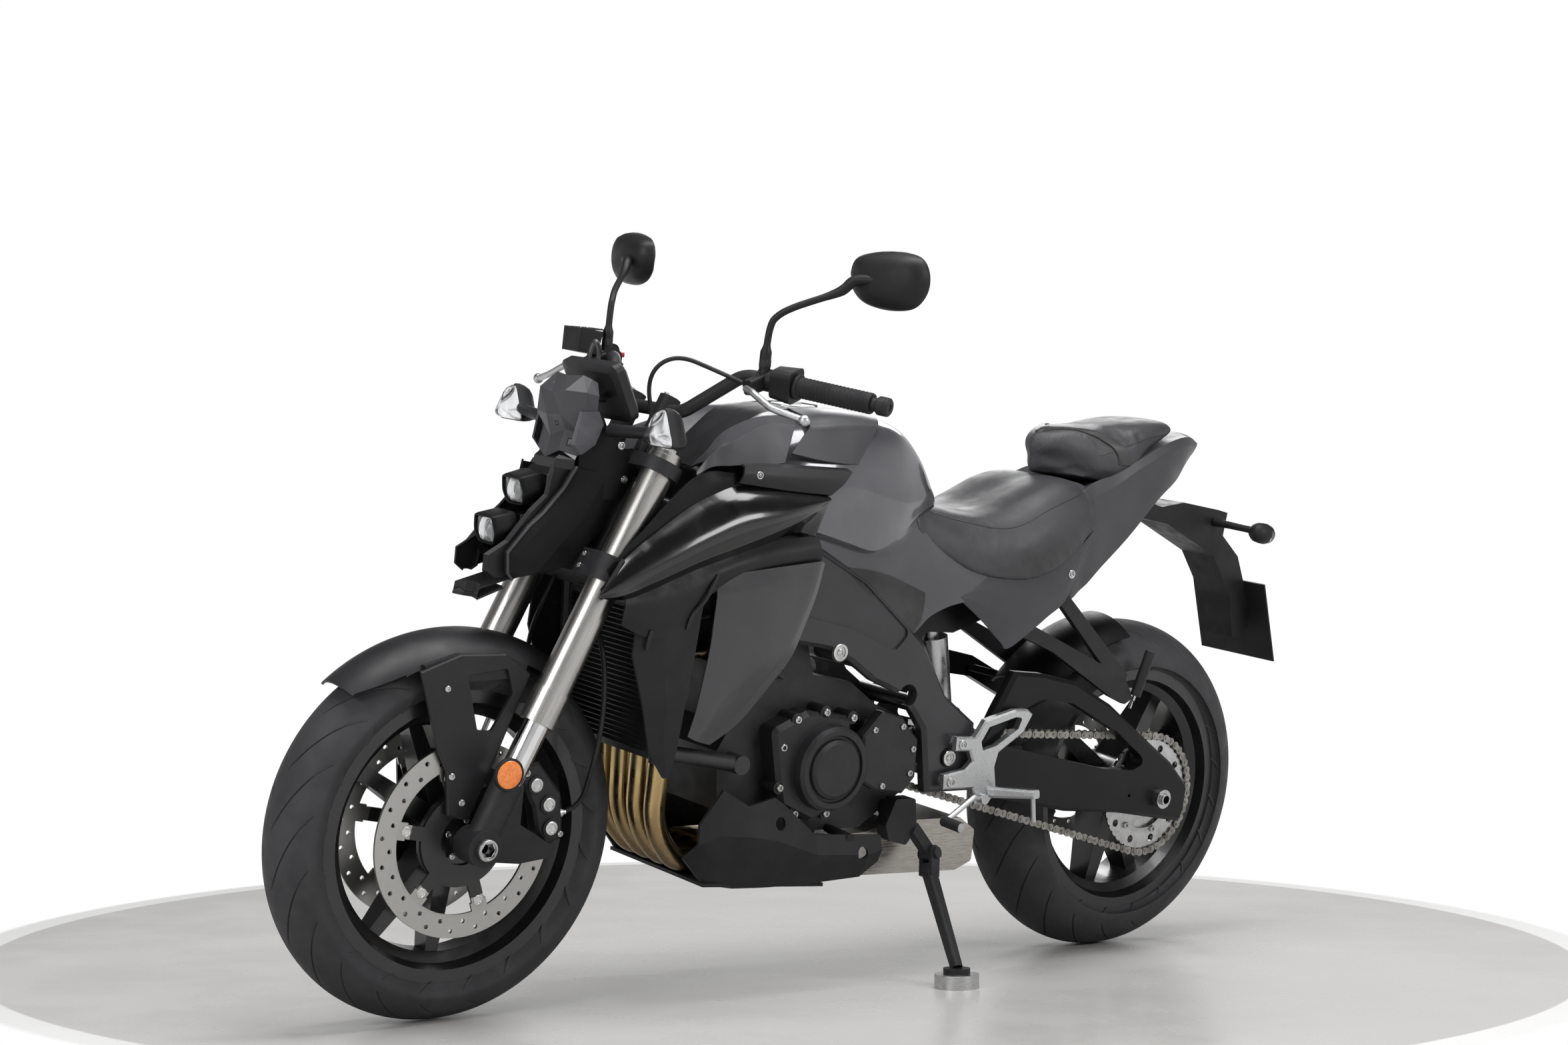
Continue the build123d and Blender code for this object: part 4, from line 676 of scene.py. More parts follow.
yoke_screws = screws([at_fork(37, hand * 78, q) for hand, _ in hands for q in (459, 479)], leg_ahead, 4.5, 3)
yoke_screws += screws([at_fork(p, hand * 48, 772) for hand, _ in hands for p in (-10, 10)], leg_way, 4.5, 4)
hardware("yoke_screws", yoke_screws, "steering", twin=False)

cowl_screws = [washer_bolt((1238, 72, 921), leftward, 6.5), washer_bolt((1226, 71, 868), leftward, 6)]
hardware("cowl_screws", cowl_screws, "steering")
fender_screws = screws(at_side(80, (1500, 404), (1478, 362)), leftward, 5.5, 3.5)
fender_screws += screws(at_side(80, (1520, 540)), leftward, 5, 3)
hardware("fender_screws", fender_screws, "steering")

# ---------------------------------------------------------------- bars
grip_inner, grip_outer = np.array([1050.0, 272, 1041]), np.array([994.0, 394, 1028])
bar_run = unit(grip_outer - grip_inner)
rib_at, rib_pitch = np.linspace(3, 122, 260), 6.6
rib_radius = 16.3 + 0.55 * np.tanh(2.5 * np.sin(2 * np.pi * rib_at / rib_pitch))
grip_profile = np.concatenate([[(-6, 11.4), (-6, 19.4), (-4.5, 20), (-1, 20), (0.4, 19), (1.2, 16.6)],
                               np.column_stack([rib_at, rib_radius]),
                               [(124, 16.8), (126.6, 15.6), (126.8, 11.4)]])
piece("ribbed_grips", both(turned(grip_profile, grip_inner, bar_run, 64)), grip_rubber, "steering", ["grips"])
bar_end = [(0.4, 0), (0.4, 12), (3, 14.6), (6, 15), (14, 15), (15, 14.2), (16, 14.2), (17, 15), (20, 14.4),
           (22, 12), (22, 6), (20, 5.4), (20, 0)]
piece("bar_ends", both(turned(bar_end, grip_outer, bar_run, 48)), cast_black, "steering", ["grips"])

pod_middle = grip_inner - bar_run * 26
rider_side = unit(np.cross(bar_run, skyward))
rider_side *= -np.sign(rider_side[0])
upside = np.cross(rider_side, bar_run)
upside *= np.sign(upside[2])
pod_face = 22.5


def button(offset_run, offset_up, half_width, half_height, height):
    """Push button on the rider's side of a switch housing."""
    place = pod_middle + bar_run * offset_run + upside * offset_up + rider_side * pod_face
    profile = [(-2, 0), (-2, 1.1), (0.6, 1.1), (0.6, 0.98), (height, 0.92), (height + 0.8, 0.8),
               (height + 0.5, 0)]
    return moulded(place, rider_side, upside, oblong(half_width, half_height), 6, profile, 32)


piece("left_switches", joined([button(-8, 10, 6, 4, 4), button(6, 0, 7, 5, 5), button(-6, -10, 6, 4, 3)]),
      matt_black, "steering")
red_switch = Finish("red_switch").colours(shade(0.42, 0.012, 0.012), shade(0.5, 0.02, 0.018), 80)
red_switch.sheen_of(0.3, 0.45).grain(900, 0.00005)
kill_rocker = moulded(pod_middle * (1, -1, 1) + (0, 0, 23), skyward, forward, oblong(5, 7), 5,
                      [(-2, 0), (-2, 1), (2.5, 1), (4, 0.85), (4, 0)], 32)
piece("kill_switch", joined([mirrored(button(2, 9, 7, 4.5, 6)), kill_rocker]), red_switch, "steering")
piece("start_button", mirrored(button(-4, -9, 6, 4, 4)), matt_black, "steering")

reservoir_top = np.array([1122.0, -236, 1092])
reservoir_rim = [(-0.5, 0), (-0.5, 1.0), (1.8, 1.0), (2.6, 0.94), (2.6, 0.7), (1.9, 0.66), (1.9, 0)]
piece("reservoir_cap", moulded(reservoir_top, skyward, forward, oblong(25, 27), 9, reservoir_rim),
      satin_grey, "steering")
reservoir_corners = [reservoir_top + (x, y, 1.6) for y in (17, -17) for x in (18, -18)]
hardware("reservoir_screws", screws(reservoir_corners, skyward, 2.6, 1.2), "steering", twin=False)

# ---------------------------------------------------------------- mirrors
mirror_head, mirror_neck = np.array([949.0, 346, 1219]), np.array([994.0, 312, 1214])
mirror_foot = grip_inner - bar_run * 60 + (8, 2, 21.3)
mirror_way, mirror_across = unit([-0.97, -0.2, 0.05]), unit([-0.2, 0.97, 0])
mirror_up = np.cross(mirror_way, mirror_across)
mirror_rim = np.array([(-75, -8), (-65, -32), (-30, -43), (20, -46), (57, -38), (73, -14), (70, 16),
                       (46, 40), (0, 46), (-44, 38), (-69, 18)])
rim_steps = 8
around_rim = refined(np.concatenate([mirror_rim[-3:], mirror_rim, mirror_rim[:4]]), rim_steps)
around_rim = around_rim[3 * rim_steps:-4 * rim_steps]


def across_mirror(rings):
    """Rings of the mirror's outline, given as shares of it and distances towards the rider."""
    rim = around_rim[:, :1] * mirror_across + around_rim[:, 1:] * mirror_up
    points = np.stack([mirror_head + mirror_way * depth + share * rim for share, depth in rings], 1)
    return points.reshape(-1, 3), grid(len(rim), len(rings), wrap_rows=True)


mirror_shell = across_mirror([(0, 1.6), (0.93, 1.6), (0.94, 2.4), (0.97, 2.6), (1.0, 0.5), (1.0, -4),
                              (0.97, -12), (0.88, -21), (0.72, -28), (0.5, -33), (0.25, -35.5), (0, -36)])
stalk_bends = [mirror_foot + bend
               for bend in ((0, 0, -1), (0, 0, 26), (-2, 2, 60), (-8, 8, 78), (-26, 28, 96))]
stalk_bends += [mirror_neck + (16, -17, -20), mirror_neck, mirror_head - mirror_way * 26]
stalk_path = refined(np.array(stalk_bends), 8)
stalk_at = np.linspace(0, 7, len(stalk_path))
stalk_radius = np.interp(stalk_at, [0, 0.9, 1.2, 4.6, 5.1, 6.2, 7], [9.4, 9.2, 5.6, 5.6, 8.2, 8.4, 7])
stalk = tube(stalk_path, stalk_radius, 20)
stalk_nut = moulded(mirror_foot, skyward, forward, hexagon(9.2), 18,
                    [(-1, 0), (-1, 1), (9, 1), (10.5, 0.9), (10.5, 0)], 36)
mirror_body = joined([mirror_shell, stalk, stalk_nut])
for side_name, shape in (("left", mirror_body), ("right", mirrored(mirror_body))):
    piece("mirror_shell_" + side_name, shape, matt_black, "steering", ["mirror_" + side_name])
mirror_pane = across_mirror([(0, 2.9), (0.8, 2.8), (0.92, 2.5), (0.925, 1.8), (0, 1.7)])
piece("mirror_panes", both(mirror_pane), mirror_glass, "steering")

# ---------------------------------------------------------------- meter
meter_way, meter_up = np.array([-0.89, 0, 0.456]), np.array([0.456, 0, 0.89])
meter_middle = np.array([1249.0, 0, 999]) + meter_way * 27
meter_glass = Finish("meter_glass", coat=1.0).colours(shade(0.006), shade(0.009))
meter_glass.sheen_of(0.06, 0.1).grain(60, 0.00001)
meter_pane = moulded(meter_middle, meter_way, meter_up, oblong(60, 32), 8,
                     [(-0.5, 0), (-0.5, 1), (0.8, 1), (1.4, 0.97), (1.6, 0.5), (1.7, 0)])
piece("meter_pane", meter_pane, meter_glass, "steering")
dial_white = plastic("dial_white", 0.6, 0.66, 0.4, 0.5, 600, 0.00002, edge_highlight=0.0)
dial_middle, dial_radius = meter_middle + meter_way * 1.7, 24
ticks = []
for angle in np.radians(np.linspace(215, -35, 13)):
    spoke = np.cos(angle) * np.array(leftward) + np.sin(angle) * meter_up
    ticks.append(moulded(dial_middle + dial_radius * spoke, meter_way, spoke, oblong(0.5, 2.6), 6,
                         [(-0.3, 0), (-0.3, 1), (0.25, 1), (0.25, 0)], 12))
piece("meter_ticks", joined(ticks), dial_white, "steering", smooth=False)

# ---------------------------------------------------------------- bodywork
def spread(net, creases=(), along=7, across=6):
    """Grid of points through a net of stations and lines: smooth along the stations, and smooth across
    the lines except at the creased ones."""
    net = refined(np.asarray(net, float), along)
    corners = [0, *creases, net.shape[1] - 1]
    strips = [refined(np.swapaxes(net[:, first:last + 1], 0, 1), across)
              for first, last in zip(corners, corners[1:])]
    return np.concatenate([strips[0]] + [strip[1:] for strip in strips[1:]])


def walled(rows, wall):
    """Closed wall: a grid of points, and the same grid sunk by the wall along its own normal."""
    out = np.cross(np.gradient(rows, axis=0), np.gradient(rows, axis=1))
    out /= np.maximum(np.linalg.norm(out, axis=2, keepdims=True), 1e-9)
    out *= np.sign(out[..., 1].mean())
    count, columns = rows.shape[:2]
    points = np.concatenate([rows, (rows - wall * out)[::-1]])
    step = np.arange(count - 1)
    ends = [np.column_stack([step * columns + c, (step + 1) * columns + c,
                             (2 * count - 2 - step) * columns + c,
                             (2 * count - 1 - step) * columns + c]) for c in (0, columns - 1)]
    return points.reshape(-1, 3), np.concatenate([grid(2 * count, columns, wrap_rows=True)] + ends)


def solid_of(rows):
    """Left half of a form that is closed by its own mirror image in the middle plane."""
    return rows.reshape(-1, 3), grid(*rows.shape[:2])


def stations(*cuts):
    """Net from cuts given as x and the (y, z) points of each line."""
    return [[(x, y, z) for y, z in line] for x, line in cuts]


def body_panel(name, net, finish, creases=(), wall=3, along=7, across=6, replaced=()):
    """Smooth panel on both sides: a net made fine, given its wall, and mirrored."""
    piece(name, both(walled(spread(net, creases, along, across), wall)), finish, replaced=replaced)


def nose_panel(name, net, finish, across=1, replaced=()):
    """Panel of flat facets on both sides of the nose, which turns with the bars."""
    shape = both(walled(spread(net, (1, 2), 1, across), 3))
    piece(name, shape, finish, "steering", replaced, smooth=False)


def at_sides(sides, *rows):
    """Net whose lines keep to fixed distances from the middle plane, from rows of (x, z)."""
    return [[(x, y, z) for y, (x, z) in zip(sides, row)] for row in rows]


tank_net = stations(
    (556, [(0, 862)] * 8),
    (560, [(0, 872), (24, 870), (40, 864), (52, 856), (58, 848), (58, 842), (46, 838), (0, 838)]),
    (580, [(0, 902), (36, 899), (60, 888), (78, 870), (86, 857), (86, 846), (68, 836), (0, 832)]),
    (613, [(0, 941), (46, 937), (80, 918), (100, 885), (108, 862), (108, 841), (90, 828), (0, 815)]),
    (652, [(0, 973), (54, 969), (92, 946), (115, 898), (125, 860), (125, 826), (107, 812), (0, 790)]),
    (700, [(0, 988), (60, 985), (106, 964), (132, 905), (143, 850), (141, 795), (122, 780), (0, 772)]),
    (758, [(0, 992), (62, 990), (116, 972), (143, 914), (154, 846), (151, 772), (132, 768), (0, 770)]),
    (820, [(0, 992), (62, 990), (122, 970), (149, 914), (158, 850), (154, 784), (134, 776), (0, 770)]),
    (885, [(0, 990), (62, 987), (120, 962), (148, 910), (157, 852), (152, 800), (132, 786), (0, 770)]),
    (940, [(0, 976), (60, 970), (112, 944), (142, 900), (150, 856), (144, 810), (126, 790), (0, 770)]),
    (1000, [(0, 938), (50, 932), (90, 914), (118, 886), (128, 850), (124, 812), (110, 790), (0, 772)]),
    (1040, [(0, 905), (36, 900), (58, 888), (68, 868), (72, 845), (70, 815), (62, 792), (0, 775)]),
    (1042, [(0, 850)] * 8))
piece("tank_shell", both(solid_of(spread(tank_net, (5, 6)))), tank_paint, replaced=["fuel_tank"])

pad_net = [
    [(900, 60, 996), (900, 104, 986), (905, 128, 972), (952, 146, 928)],
    [(850, 64, 1000), (850, 106, 992), (850, 130, 975), (900, 155, 920)],
    [(790, 64, 1001), (790, 104, 993), (788, 127, 978), (845, 155, 916)],
    [(742, 60, 998), (742, 100, 990), (752, 120, 979), (814, 151, 916)]]
body_panel("tank_pads", pad_net, cover_grey, (2,), 5, replaced=["tank_cover"])
brow_net = [
    [(905, 60, 994), (920, 100, 988), (935, 126, 974), (966, 147, 912)],
    [(960, 60, 984), (985, 96, 982), (992, 124, 972), (1000, 150, 908)],
    [(1010, 52, 950), (1026, 92, 968), (1032, 130, 956), (1040, 154, 908)],
    [(1040, 46, 925), (1062, 92, 948), (1072, 138, 940), (1078, 157, 905)],
    [(1060, 40, 905), (1080, 92, 925), (1112, 150, 925), (1120, 160, 902)],
    [(1072, 36, 890), (1086, 92, 905), (1146, 153, 893), (1150, 160, 888)]]
body_panel("tank_brows", brow_net, cover_grey, (1, 2))
crown_net = [
    [(900, 0, 999), (900, 34, 998), (900, 61, 996)],
    [(960, 0, 987), (960, 32, 986), (960, 61, 984)],
    [(1010, 0, 952), (1010, 28, 952), (1010, 53, 950)],
    [(1040, 0, 927), (1040, 24, 927), (1040, 47, 925)],
    [(1072, 0, 892), (1072, 18, 892), (1072, 37, 890)]]
body_panel("tank_crown", crown_net, matt_black)
strip_net = [
    [(838, 151, 908), (834, 162, 903), (852, 166, 884), (874, 163, 864), (874, 152, 860)],
    [(950, 151, 910), (950, 163, 905), (955, 168, 888), (958, 164, 868), (958, 152, 864)],
    [(1062, 150, 910), (1058, 162, 906), (1062, 167, 892), (1066, 164, 878), (1066, 152, 874)]]
body_panel("tank_strips", strip_net, satin_grey, (1, 3), 4)
hardware("strip_bolts", [washer_bolt((1030, 165.6, 892), leftward, 6.5)])

intake_net = [
    [(1296, 149, 735), (1290, 154, 712), (1286, 156, 700)],
    [(1232, 150, 800), (1226, 156, 770), (1220, 159, 735)],
    [(1166, 150, 868), (1160, 157, 830), (1160, 160, 790)],
    [(1120, 150, 893), (1110, 157, 868), (1104, 160, 820)],
    [(1066, 148, 893), (1060, 154, 878), (1060, 158, 840)],
    [(1000, 147, 900), (1000, 152, 885), (1000, 156, 850)],
    [(900, 146, 905), (900, 151, 885), (900, 155, 855)]]
body_panel("intake_walls", intake_net, deep_black)
wing_net = [
    [(1313, 160, 706), (1315, 165, 702), (1317, 168, 697), (1315, 166, 692), (1312, 158, 690)],
    [(1270, 160, 755), (1276, 172, 738), (1280, 180, 718), (1276, 178, 700), (1262, 160, 690)],
    [(1205, 160, 804), (1208, 178, 782), (1206, 190, 754), (1204, 184, 730), (1205, 162, 710)],
    [(1140, 158, 845), (1140, 180, 820), (1138, 195, 788), (1138, 187, 757), (1140, 162, 736)],
    [(1072, 156, 871), (1072, 180, 850), (1070, 197, 815), (1070, 188, 780), (1072, 162, 758)],
    [(1000, 155, 873), (1000, 178, 858), (998, 194, 830), (998, 186, 804), (1000, 160, 780)],
    [(935, 155, 868), (935, 172, 860), (936, 184, 846), (938, 180, 826), (940, 158, 800)],
    [(878, 156, 862), (879, 166, 860), (882, 172, 857), (886, 171, 852), (896, 158, 795)]]
body_panel("wing_shrouds", wing_net, gloss_black, (3,), 3, 8, 8, ["side_shrouds"])
under_net = [
    [(1262, 157, 694), (1264, 162, 680), (1266, 162, 662), (1266, 160, 648)],
    [(1208, 160, 712), (1210, 168, 690), (1212, 168, 662), (1214, 164, 630)],
    [(1145, 160, 738), (1148, 170, 705), (1150, 170, 672), (1150, 166, 640)],
    [(1080, 160, 760), (1090, 171, 738), (1098, 171, 722), (1102, 166, 700)],
    [(1000, 158, 782), (1000, 170, 765), (1000, 172, 748), (1002, 165, 732)],
    [(890, 156, 797), (888, 166, 780), (886, 168, 765), (884, 164, 748)]]
body_panel("under_shrouds", under_net, matt_black)
edge_paths = [
    [(1099, 172, 731), (1108, 174, 716), (1120, 174, 692), (1139, 172, 669), (1147, 169, 643)],
    [(1213, 168, 642), (1216, 166, 628), (1217, 164, 610)],
    [(1276, 161, 752), (1292, 163, 728), (1306, 164, 706), (1313, 163, 690)]]
shroud_edges = []
for bends in edge_paths:
    edge = refined(np.array(bends), 5)
    shroud_edges.append(tube(edge, [3.2] + [3.6] * (len(edge) - 2) + [2.4]))
piece("shroud_edges", both(joined(shroud_edges)), satin_grey)

flank_net = [
    [(1096, 162, 727), (1040, 172, 737), (975, 176, 746), (890, 174, 756), (880, 170, 752), (872, 152, 746)],
    [(1093, 168, 700), (1040, 178, 704), (975, 181, 708), (905, 178, 706), (893, 173, 702), (884, 152, 700)],
    [(1096, 170, 660), (1045, 181, 660), (990, 183, 660), (925, 179, 657), (911, 173, 652), (901, 152, 650)],
    [(1098, 170, 615), (1055, 180, 612), (1010, 182, 608), (951, 178, 602), (934, 172, 596), (922, 152, 594)],
    [(1104, 168, 565), (1072, 177, 560), (1040, 178, 555), (996, 175, 548), (976, 170, 545), (962, 152, 543)],
    [(1112, 166, 510), (1094, 172, 505), (1075, 173, 500), (1042, 171, 494), (1024, 167, 491),
     (1010, 152, 490)],
    [(1122, 164, 470), (1112, 168, 465), (1100, 168, 461), (1085, 166, 457), (1075, 163, 455),
     (1066, 152, 454)]]
body_panel("flank_panels", flank_net, flank_black, (3, 4), replaced=["side_panels"])

knee_net = [
    [(908, 132, 782), (906, 140, 776), (905, 142, 768), (904, 142, 762)],
    [(869, 132, 800), (867, 141, 785), (862, 143, 768), (856, 142, 752)],
    [(800, 130, 800), (798, 141, 770), (796, 144, 742), (794, 143, 708)],
    [(747, 128, 795), (745, 140, 765), (743, 143, 720), (740, 143, 672)],
    [(700, 124, 812), (698, 138, 775), (694, 142, 710), (690, 143, 634)],
    [(668, 118, 838), (662, 134, 795), (656, 141, 715), (650, 142, 628)],
    [(636, 116, 830), (630, 132, 785), (622, 140, 718), (612, 141, 658)],
    [(585, 122, 790), (582, 134, 762), (576, 140, 718), (570, 141, 676)],
    [(530, 124, 762), (528, 136, 742), (524, 140, 716), (520, 140, 688)],
    [(470, 126, 742), (470, 136, 734), (470, 139, 726), (470, 139, 714)]]
body_panel("knee_covers", knee_net, frame_paint)
guard_net = [
    [(795, 145.5, 712), (800, 146, 728), (806, 145.5, 742)],
    [(745, 145.5, 674), (752, 146.5, 708), (760, 145.8, 738)],
    [(694, 145, 632), (700, 146, 680), (712, 145.5, 728)],
    [(664, 144, 618), (660, 145, 664), (664, 144.8, 712)],
    [(634, 143.5, 650), (630, 143.8, 676), (630, 143.5, 700)]]
body_panel("knee_guards", guard_net, rough_guard, wall=2)

side_net = [
    [(546, 136, 700), (545, 140, 696), (543, 141, 692), (542, 139, 686)],
    [(500, 138, 728), (498, 142, 706), (494, 143, 680), (490, 140, 652)],
    [(450, 139, 727), (448, 144, 696), (445, 144, 660), (440, 141, 614)],
    [(415, 140, 727), (412, 145, 696), (410, 145, 655), (420, 141, 601)],
    [(375, 140, 733), (374, 145, 700), (372, 145, 665), (370, 141, 630)],
    [(335, 140, 745), (334, 143, 716), (332, 143, 690), (330, 140, 657)],
    [(295, 138, 763), (294, 141, 738), (292, 141, 712), (290, 138, 684)],
    [(262, 136, 784), (262, 138, 768), (262, 138, 752), (262, 136, 734)],
    [(228, 132, 814), (228, 133, 809), (229, 133, 804), (230, 131, 798)]]
body_panel("side_panels_rear", side_net, cover_grey, (1, 2), 4, replaced=["side_covers"])
hardware("side_cover_bolts", [washer_bolt((282, 140, 735), leftward, 8)])

tail_net = [
    [(-122, 0, 980), (-118, 32, 980), (-100, 58, 978), (-97, 60, 972), (-90, 58, 958), (-80, 54, 944),
     (-88, 0, 950)],
    [(-62, 0, 996), (-60, 44, 995), (-52, 78, 990), (-50, 84, 976), (-42, 84, 945), (-30, 80, 908),
     (-30, 0, 925)],
    [(10, 0, 976), (10, 50, 976), (8, 91, 980), (12, 98, 962), (18, 99, 920), (28, 95, 872), (28, 0, 900)],
    [(86, 0, 940), (86, 50, 940), (84, 97, 948), (88, 104, 930), (95, 103, 880), (102, 99, 800),
     (102, 0, 850)],
    [(150, 0, 900), (150, 50, 900), (150, 100, 916), (154, 107, 894), (160, 107, 830), (170, 104, 744),
     (170, 0, 800)],
    [(205, 0, 880), (205, 50, 880), (205, 102, 900), (208, 110, 872), (214, 112, 800), (222, 110, 704),
     (222, 0, 780)],
    [(262, 0, 850), (262, 50, 850), (262, 100, 866), (262, 112, 842), (266, 114, 770), (272, 112, 690),
     (272, 0, 760)],
    [(264, 0, 800)] * 7]
piece("tail_shell", both(solid_of(spread(tail_net, (2, 3, 5)))), cover_grey, replaced=["tail_cowl"])

# ---------------------------------------------------------------- nose
cap_net = [
    [(1302, 0, 1023), (1297, 38, 1026), (1290, 52, 1021), (1281, 56, 1016)],
    [(1328, 0, 995), (1328, 36, 1001), (1303, 60, 1000), (1281, 63, 996)],
    [(1335, 0, 960), (1331, 34, 963), (1302, 60, 968), (1283, 64, 964)],
    [(1324, 0, 926), (1318, 30, 940), (1304, 57, 934), (1282, 64, 930)],
    [(1331, 0, 892), (1326, 30, 906), (1306, 50, 900), (1284, 58, 896)]]
nose_panel("nose_cap", cap_net, cover_grey, replaced=["headlight_cowl"])
plate_net = [
    [(1311, 57, 971), (1309, 62, 970), (1282, 68, 972), (1278, 61, 973)],
    [(1317, 57, 945), (1314, 62, 945), (1272, 69, 952), (1268, 62, 954)],
    [(1322, 56, 918), (1318, 61, 918), (1284, 69, 920), (1280, 63, 920)],
    [(1308, 54, 901), (1306, 60, 903), (1304, 62, 903), (1301, 58, 902)]]
nose_panel("nose_plates", plate_net, cowl_grey)
cheek_net = [
    [(1288, 58, 968), (1280, 64, 968), (1272, 66, 966)],
    [(1296, 58, 935), (1276, 66, 932), (1256, 70, 934)],
    [(1304, 58, 905), (1272, 68, 900), (1228, 72, 912)],
    [(1304, 60, 874), (1262, 70, 868), (1206, 71, 878)],
    [(1296, 62, 845), (1258, 69, 835), (1226, 69, 835)]]
piece("nose_cheeks", both(walled(spread(cheek_net, (), 3, 3), 3)), deep_black, "steering")
inner_blade = at_sides(
    (42, 48, 50, 44),
    [(1346, 884), (1343, 881), (1309, 877), (1306, 876)],
    [(1354, 838), (1350, 836), (1318, 842), (1315, 843)],
    [(1381, 812), (1377, 810), (1348, 801), (1345, 799)],
    [(1419, 764), (1415, 762), (1386, 766), (1383, 766)],
    [(1454, 742), (1449, 741), (1408, 743), (1405, 743)],
    [(1454, 716), (1449, 716), (1412, 713), (1409, 712)],
    [(1438, 704), (1435, 706), (1424, 706), (1420, 705)])
nose_panel("inner_blades", inner_blade, matt_black)
outer_blade = at_sides(
    (56, 64, 68, 70, 66),
    [(1312, 886), (1308, 882), (1303, 880), (1255, 878), (1209, 884)],
    [(1333, 850), (1329, 847), (1322, 844), (1276, 840), (1232, 838)],
    [(1368, 810), (1364, 806), (1356, 802), (1300, 797), (1250, 793)],
    [(1391, 789), (1387, 786), (1378, 780), (1326, 770), (1276, 765)],
    [(1425, 748), (1420, 746), (1410, 744), (1352, 740), (1303, 738)],
    [(1422, 714), (1418, 716), (1409, 718), (1368, 720), (1330, 722)],
    [(1412, 704), (1409, 707), (1404, 710), (1386, 713), (1372, 714)])
nose_panel("outer_blades", outer_blade, deep_black, 2)
edge_rail = at_side(62.5, (1310, 884), (1331, 849), (1366, 808), (1389, 788), (1423, 747), (1420, 715),
                    (1411, 705))
piece("blade_edges", both(tube(edge_rail, 2.6, 8)), cover_grey, "steering")
chin_net = [
    [(1376, 0, 708), (1436, 0, 690), (1442, 0, 672), (1400, 0, 690)],
    [(1376, 20, 708), (1440, 20, 689), (1446, 20, 671), (1402, 20, 690)],
    [(1380, 36, 708), (1452, 36, 686), (1456, 36, 672), (1410, 36, 690)]]
nose_panel("nose_chin", chin_net, matt_black)
core_levels = [(922, 1310, 26, 1296, 46, 1262), (905, 1318, 28, 1302, 50, 1256),
               (893, 1331, 30, 1306, 48, 1250), (878, 1334, 30, 1308, 50, 1240),
               (866, 1346, 34, 1320, 50, 1240), (812, 1347, 34, 1326, 50, 1244),
               (803, 1388, 34, 1350, 48, 1256), (752, 1392, 34, 1370, 46, 1300),
               (744, 1424, 28, 1392, 44, 1316), (712, 1392, 30, 1380, 42, 1344)]
core = [[(front, 0, z), (front, crease, z), (corner, side, z), (back, side, z), (back, 0, z)]
        for z, front, crease, corner, side, back in core_levels]
core = np.array([[(1290, 0, 922)] * 5] + core + [[(1370, 0, 712)] * 5])
piece("nose_core", both(solid_of(core)), gloss_black, "steering", smooth=False)

# ---------------------------------------------------------------- lamps
lamp_way = np.array([1, 0, 0.05])
signal_at = np.array([1226.0, 214, 953])
reflector_chrome = metal("lamp_reflector", shade(0.72), shade(0.8), 0.08, 0.16, scale=400, depth=0.0001,
                         slot="hard_chrome")
amber_bulb = Finish("amber_bulb", "lens_clear", coat=0.6)
amber_bulb.colours(shade(0.8, 0.26, 0.02), shade(0.9, 0.33, 0.03), 60)
amber_bulb.sheen_of(0.1, 0.2).grain(100, 0.00005)


def signal_form(profile):
    """Front signal's rounded triangle along its profile."""
    triangle = [(-90, 21.5), (30, 21.5), (150, 21.5)]
    return moulded(signal_at, lamp_way, (-0.05, 0, 1), triangle, 5, profile, 64)


signal_shell = signal_form([(0.2, 0), (0.2, 0.4), (3, 0.64), (10, 0.86), (20, 0.98), (30, 1.04), (38, 1.03),
                            (38, 0.94), (30, 0.9), (8, 0.3), (8, 0)])
signal_stalk = tube([(1264, 79.3, 945), (1262, 120, 947), (1259, 165, 950), (1257, 196, 953)],
                    [11, 10, 9.4, 10.4], 24)
signal_bowl = signal_form([(37, 0.91), (30, 0.84), (20, 0.62), (13, 0.36), (10, 0.2), (10, 0)])
signal_bulb = turned([(10, 0), (10, 3.4), (16, 4), (20, 6), (25, 6), (28.5, 3.6), (29.5, 0)],
                     signal_at, lamp_way, 24)
signal_glass = signal_form([(38.6, 0), (38.2, 0.6), (35.5, 0.9), (37, 0.97), (44, 0.94), (52, 0.82),
                            (58, 0.6), (61, 0.3), (61.8, 0)])
reflector_at = (1433, 132.6, 416)
bezel = turned([(0, 0), (0, 24.5), (1, 26), (5, 26), (7, 25), (7, 22.6), (5, 22.2), (5, 0)],
               reflector_at, leftward, 56)
amber_disc = turned([(5.1, 0), (5.1, 22), (6.2, 22), (7.0, 20.5), (7.3, 10), (7.4, 0)],
                    reflector_at, leftward, 56)
for name, shape, finish in (("signal_housings", joined([signal_shell, signal_stalk]), matt_black),
                            ("signal_bowls", signal_bowl, reflector_chrome),
                            ("signal_bulbs", signal_bulb, amber_bulb),
                            ("signal_lenses", signal_glass, frosted_lens),
                            ("reflector_bezels", bezel, matt_black),
                            ("amber_reflectors", amber_disc, amber_lens)):
    piece(name, both(shape), finish, "steering", ["front_lamps"])

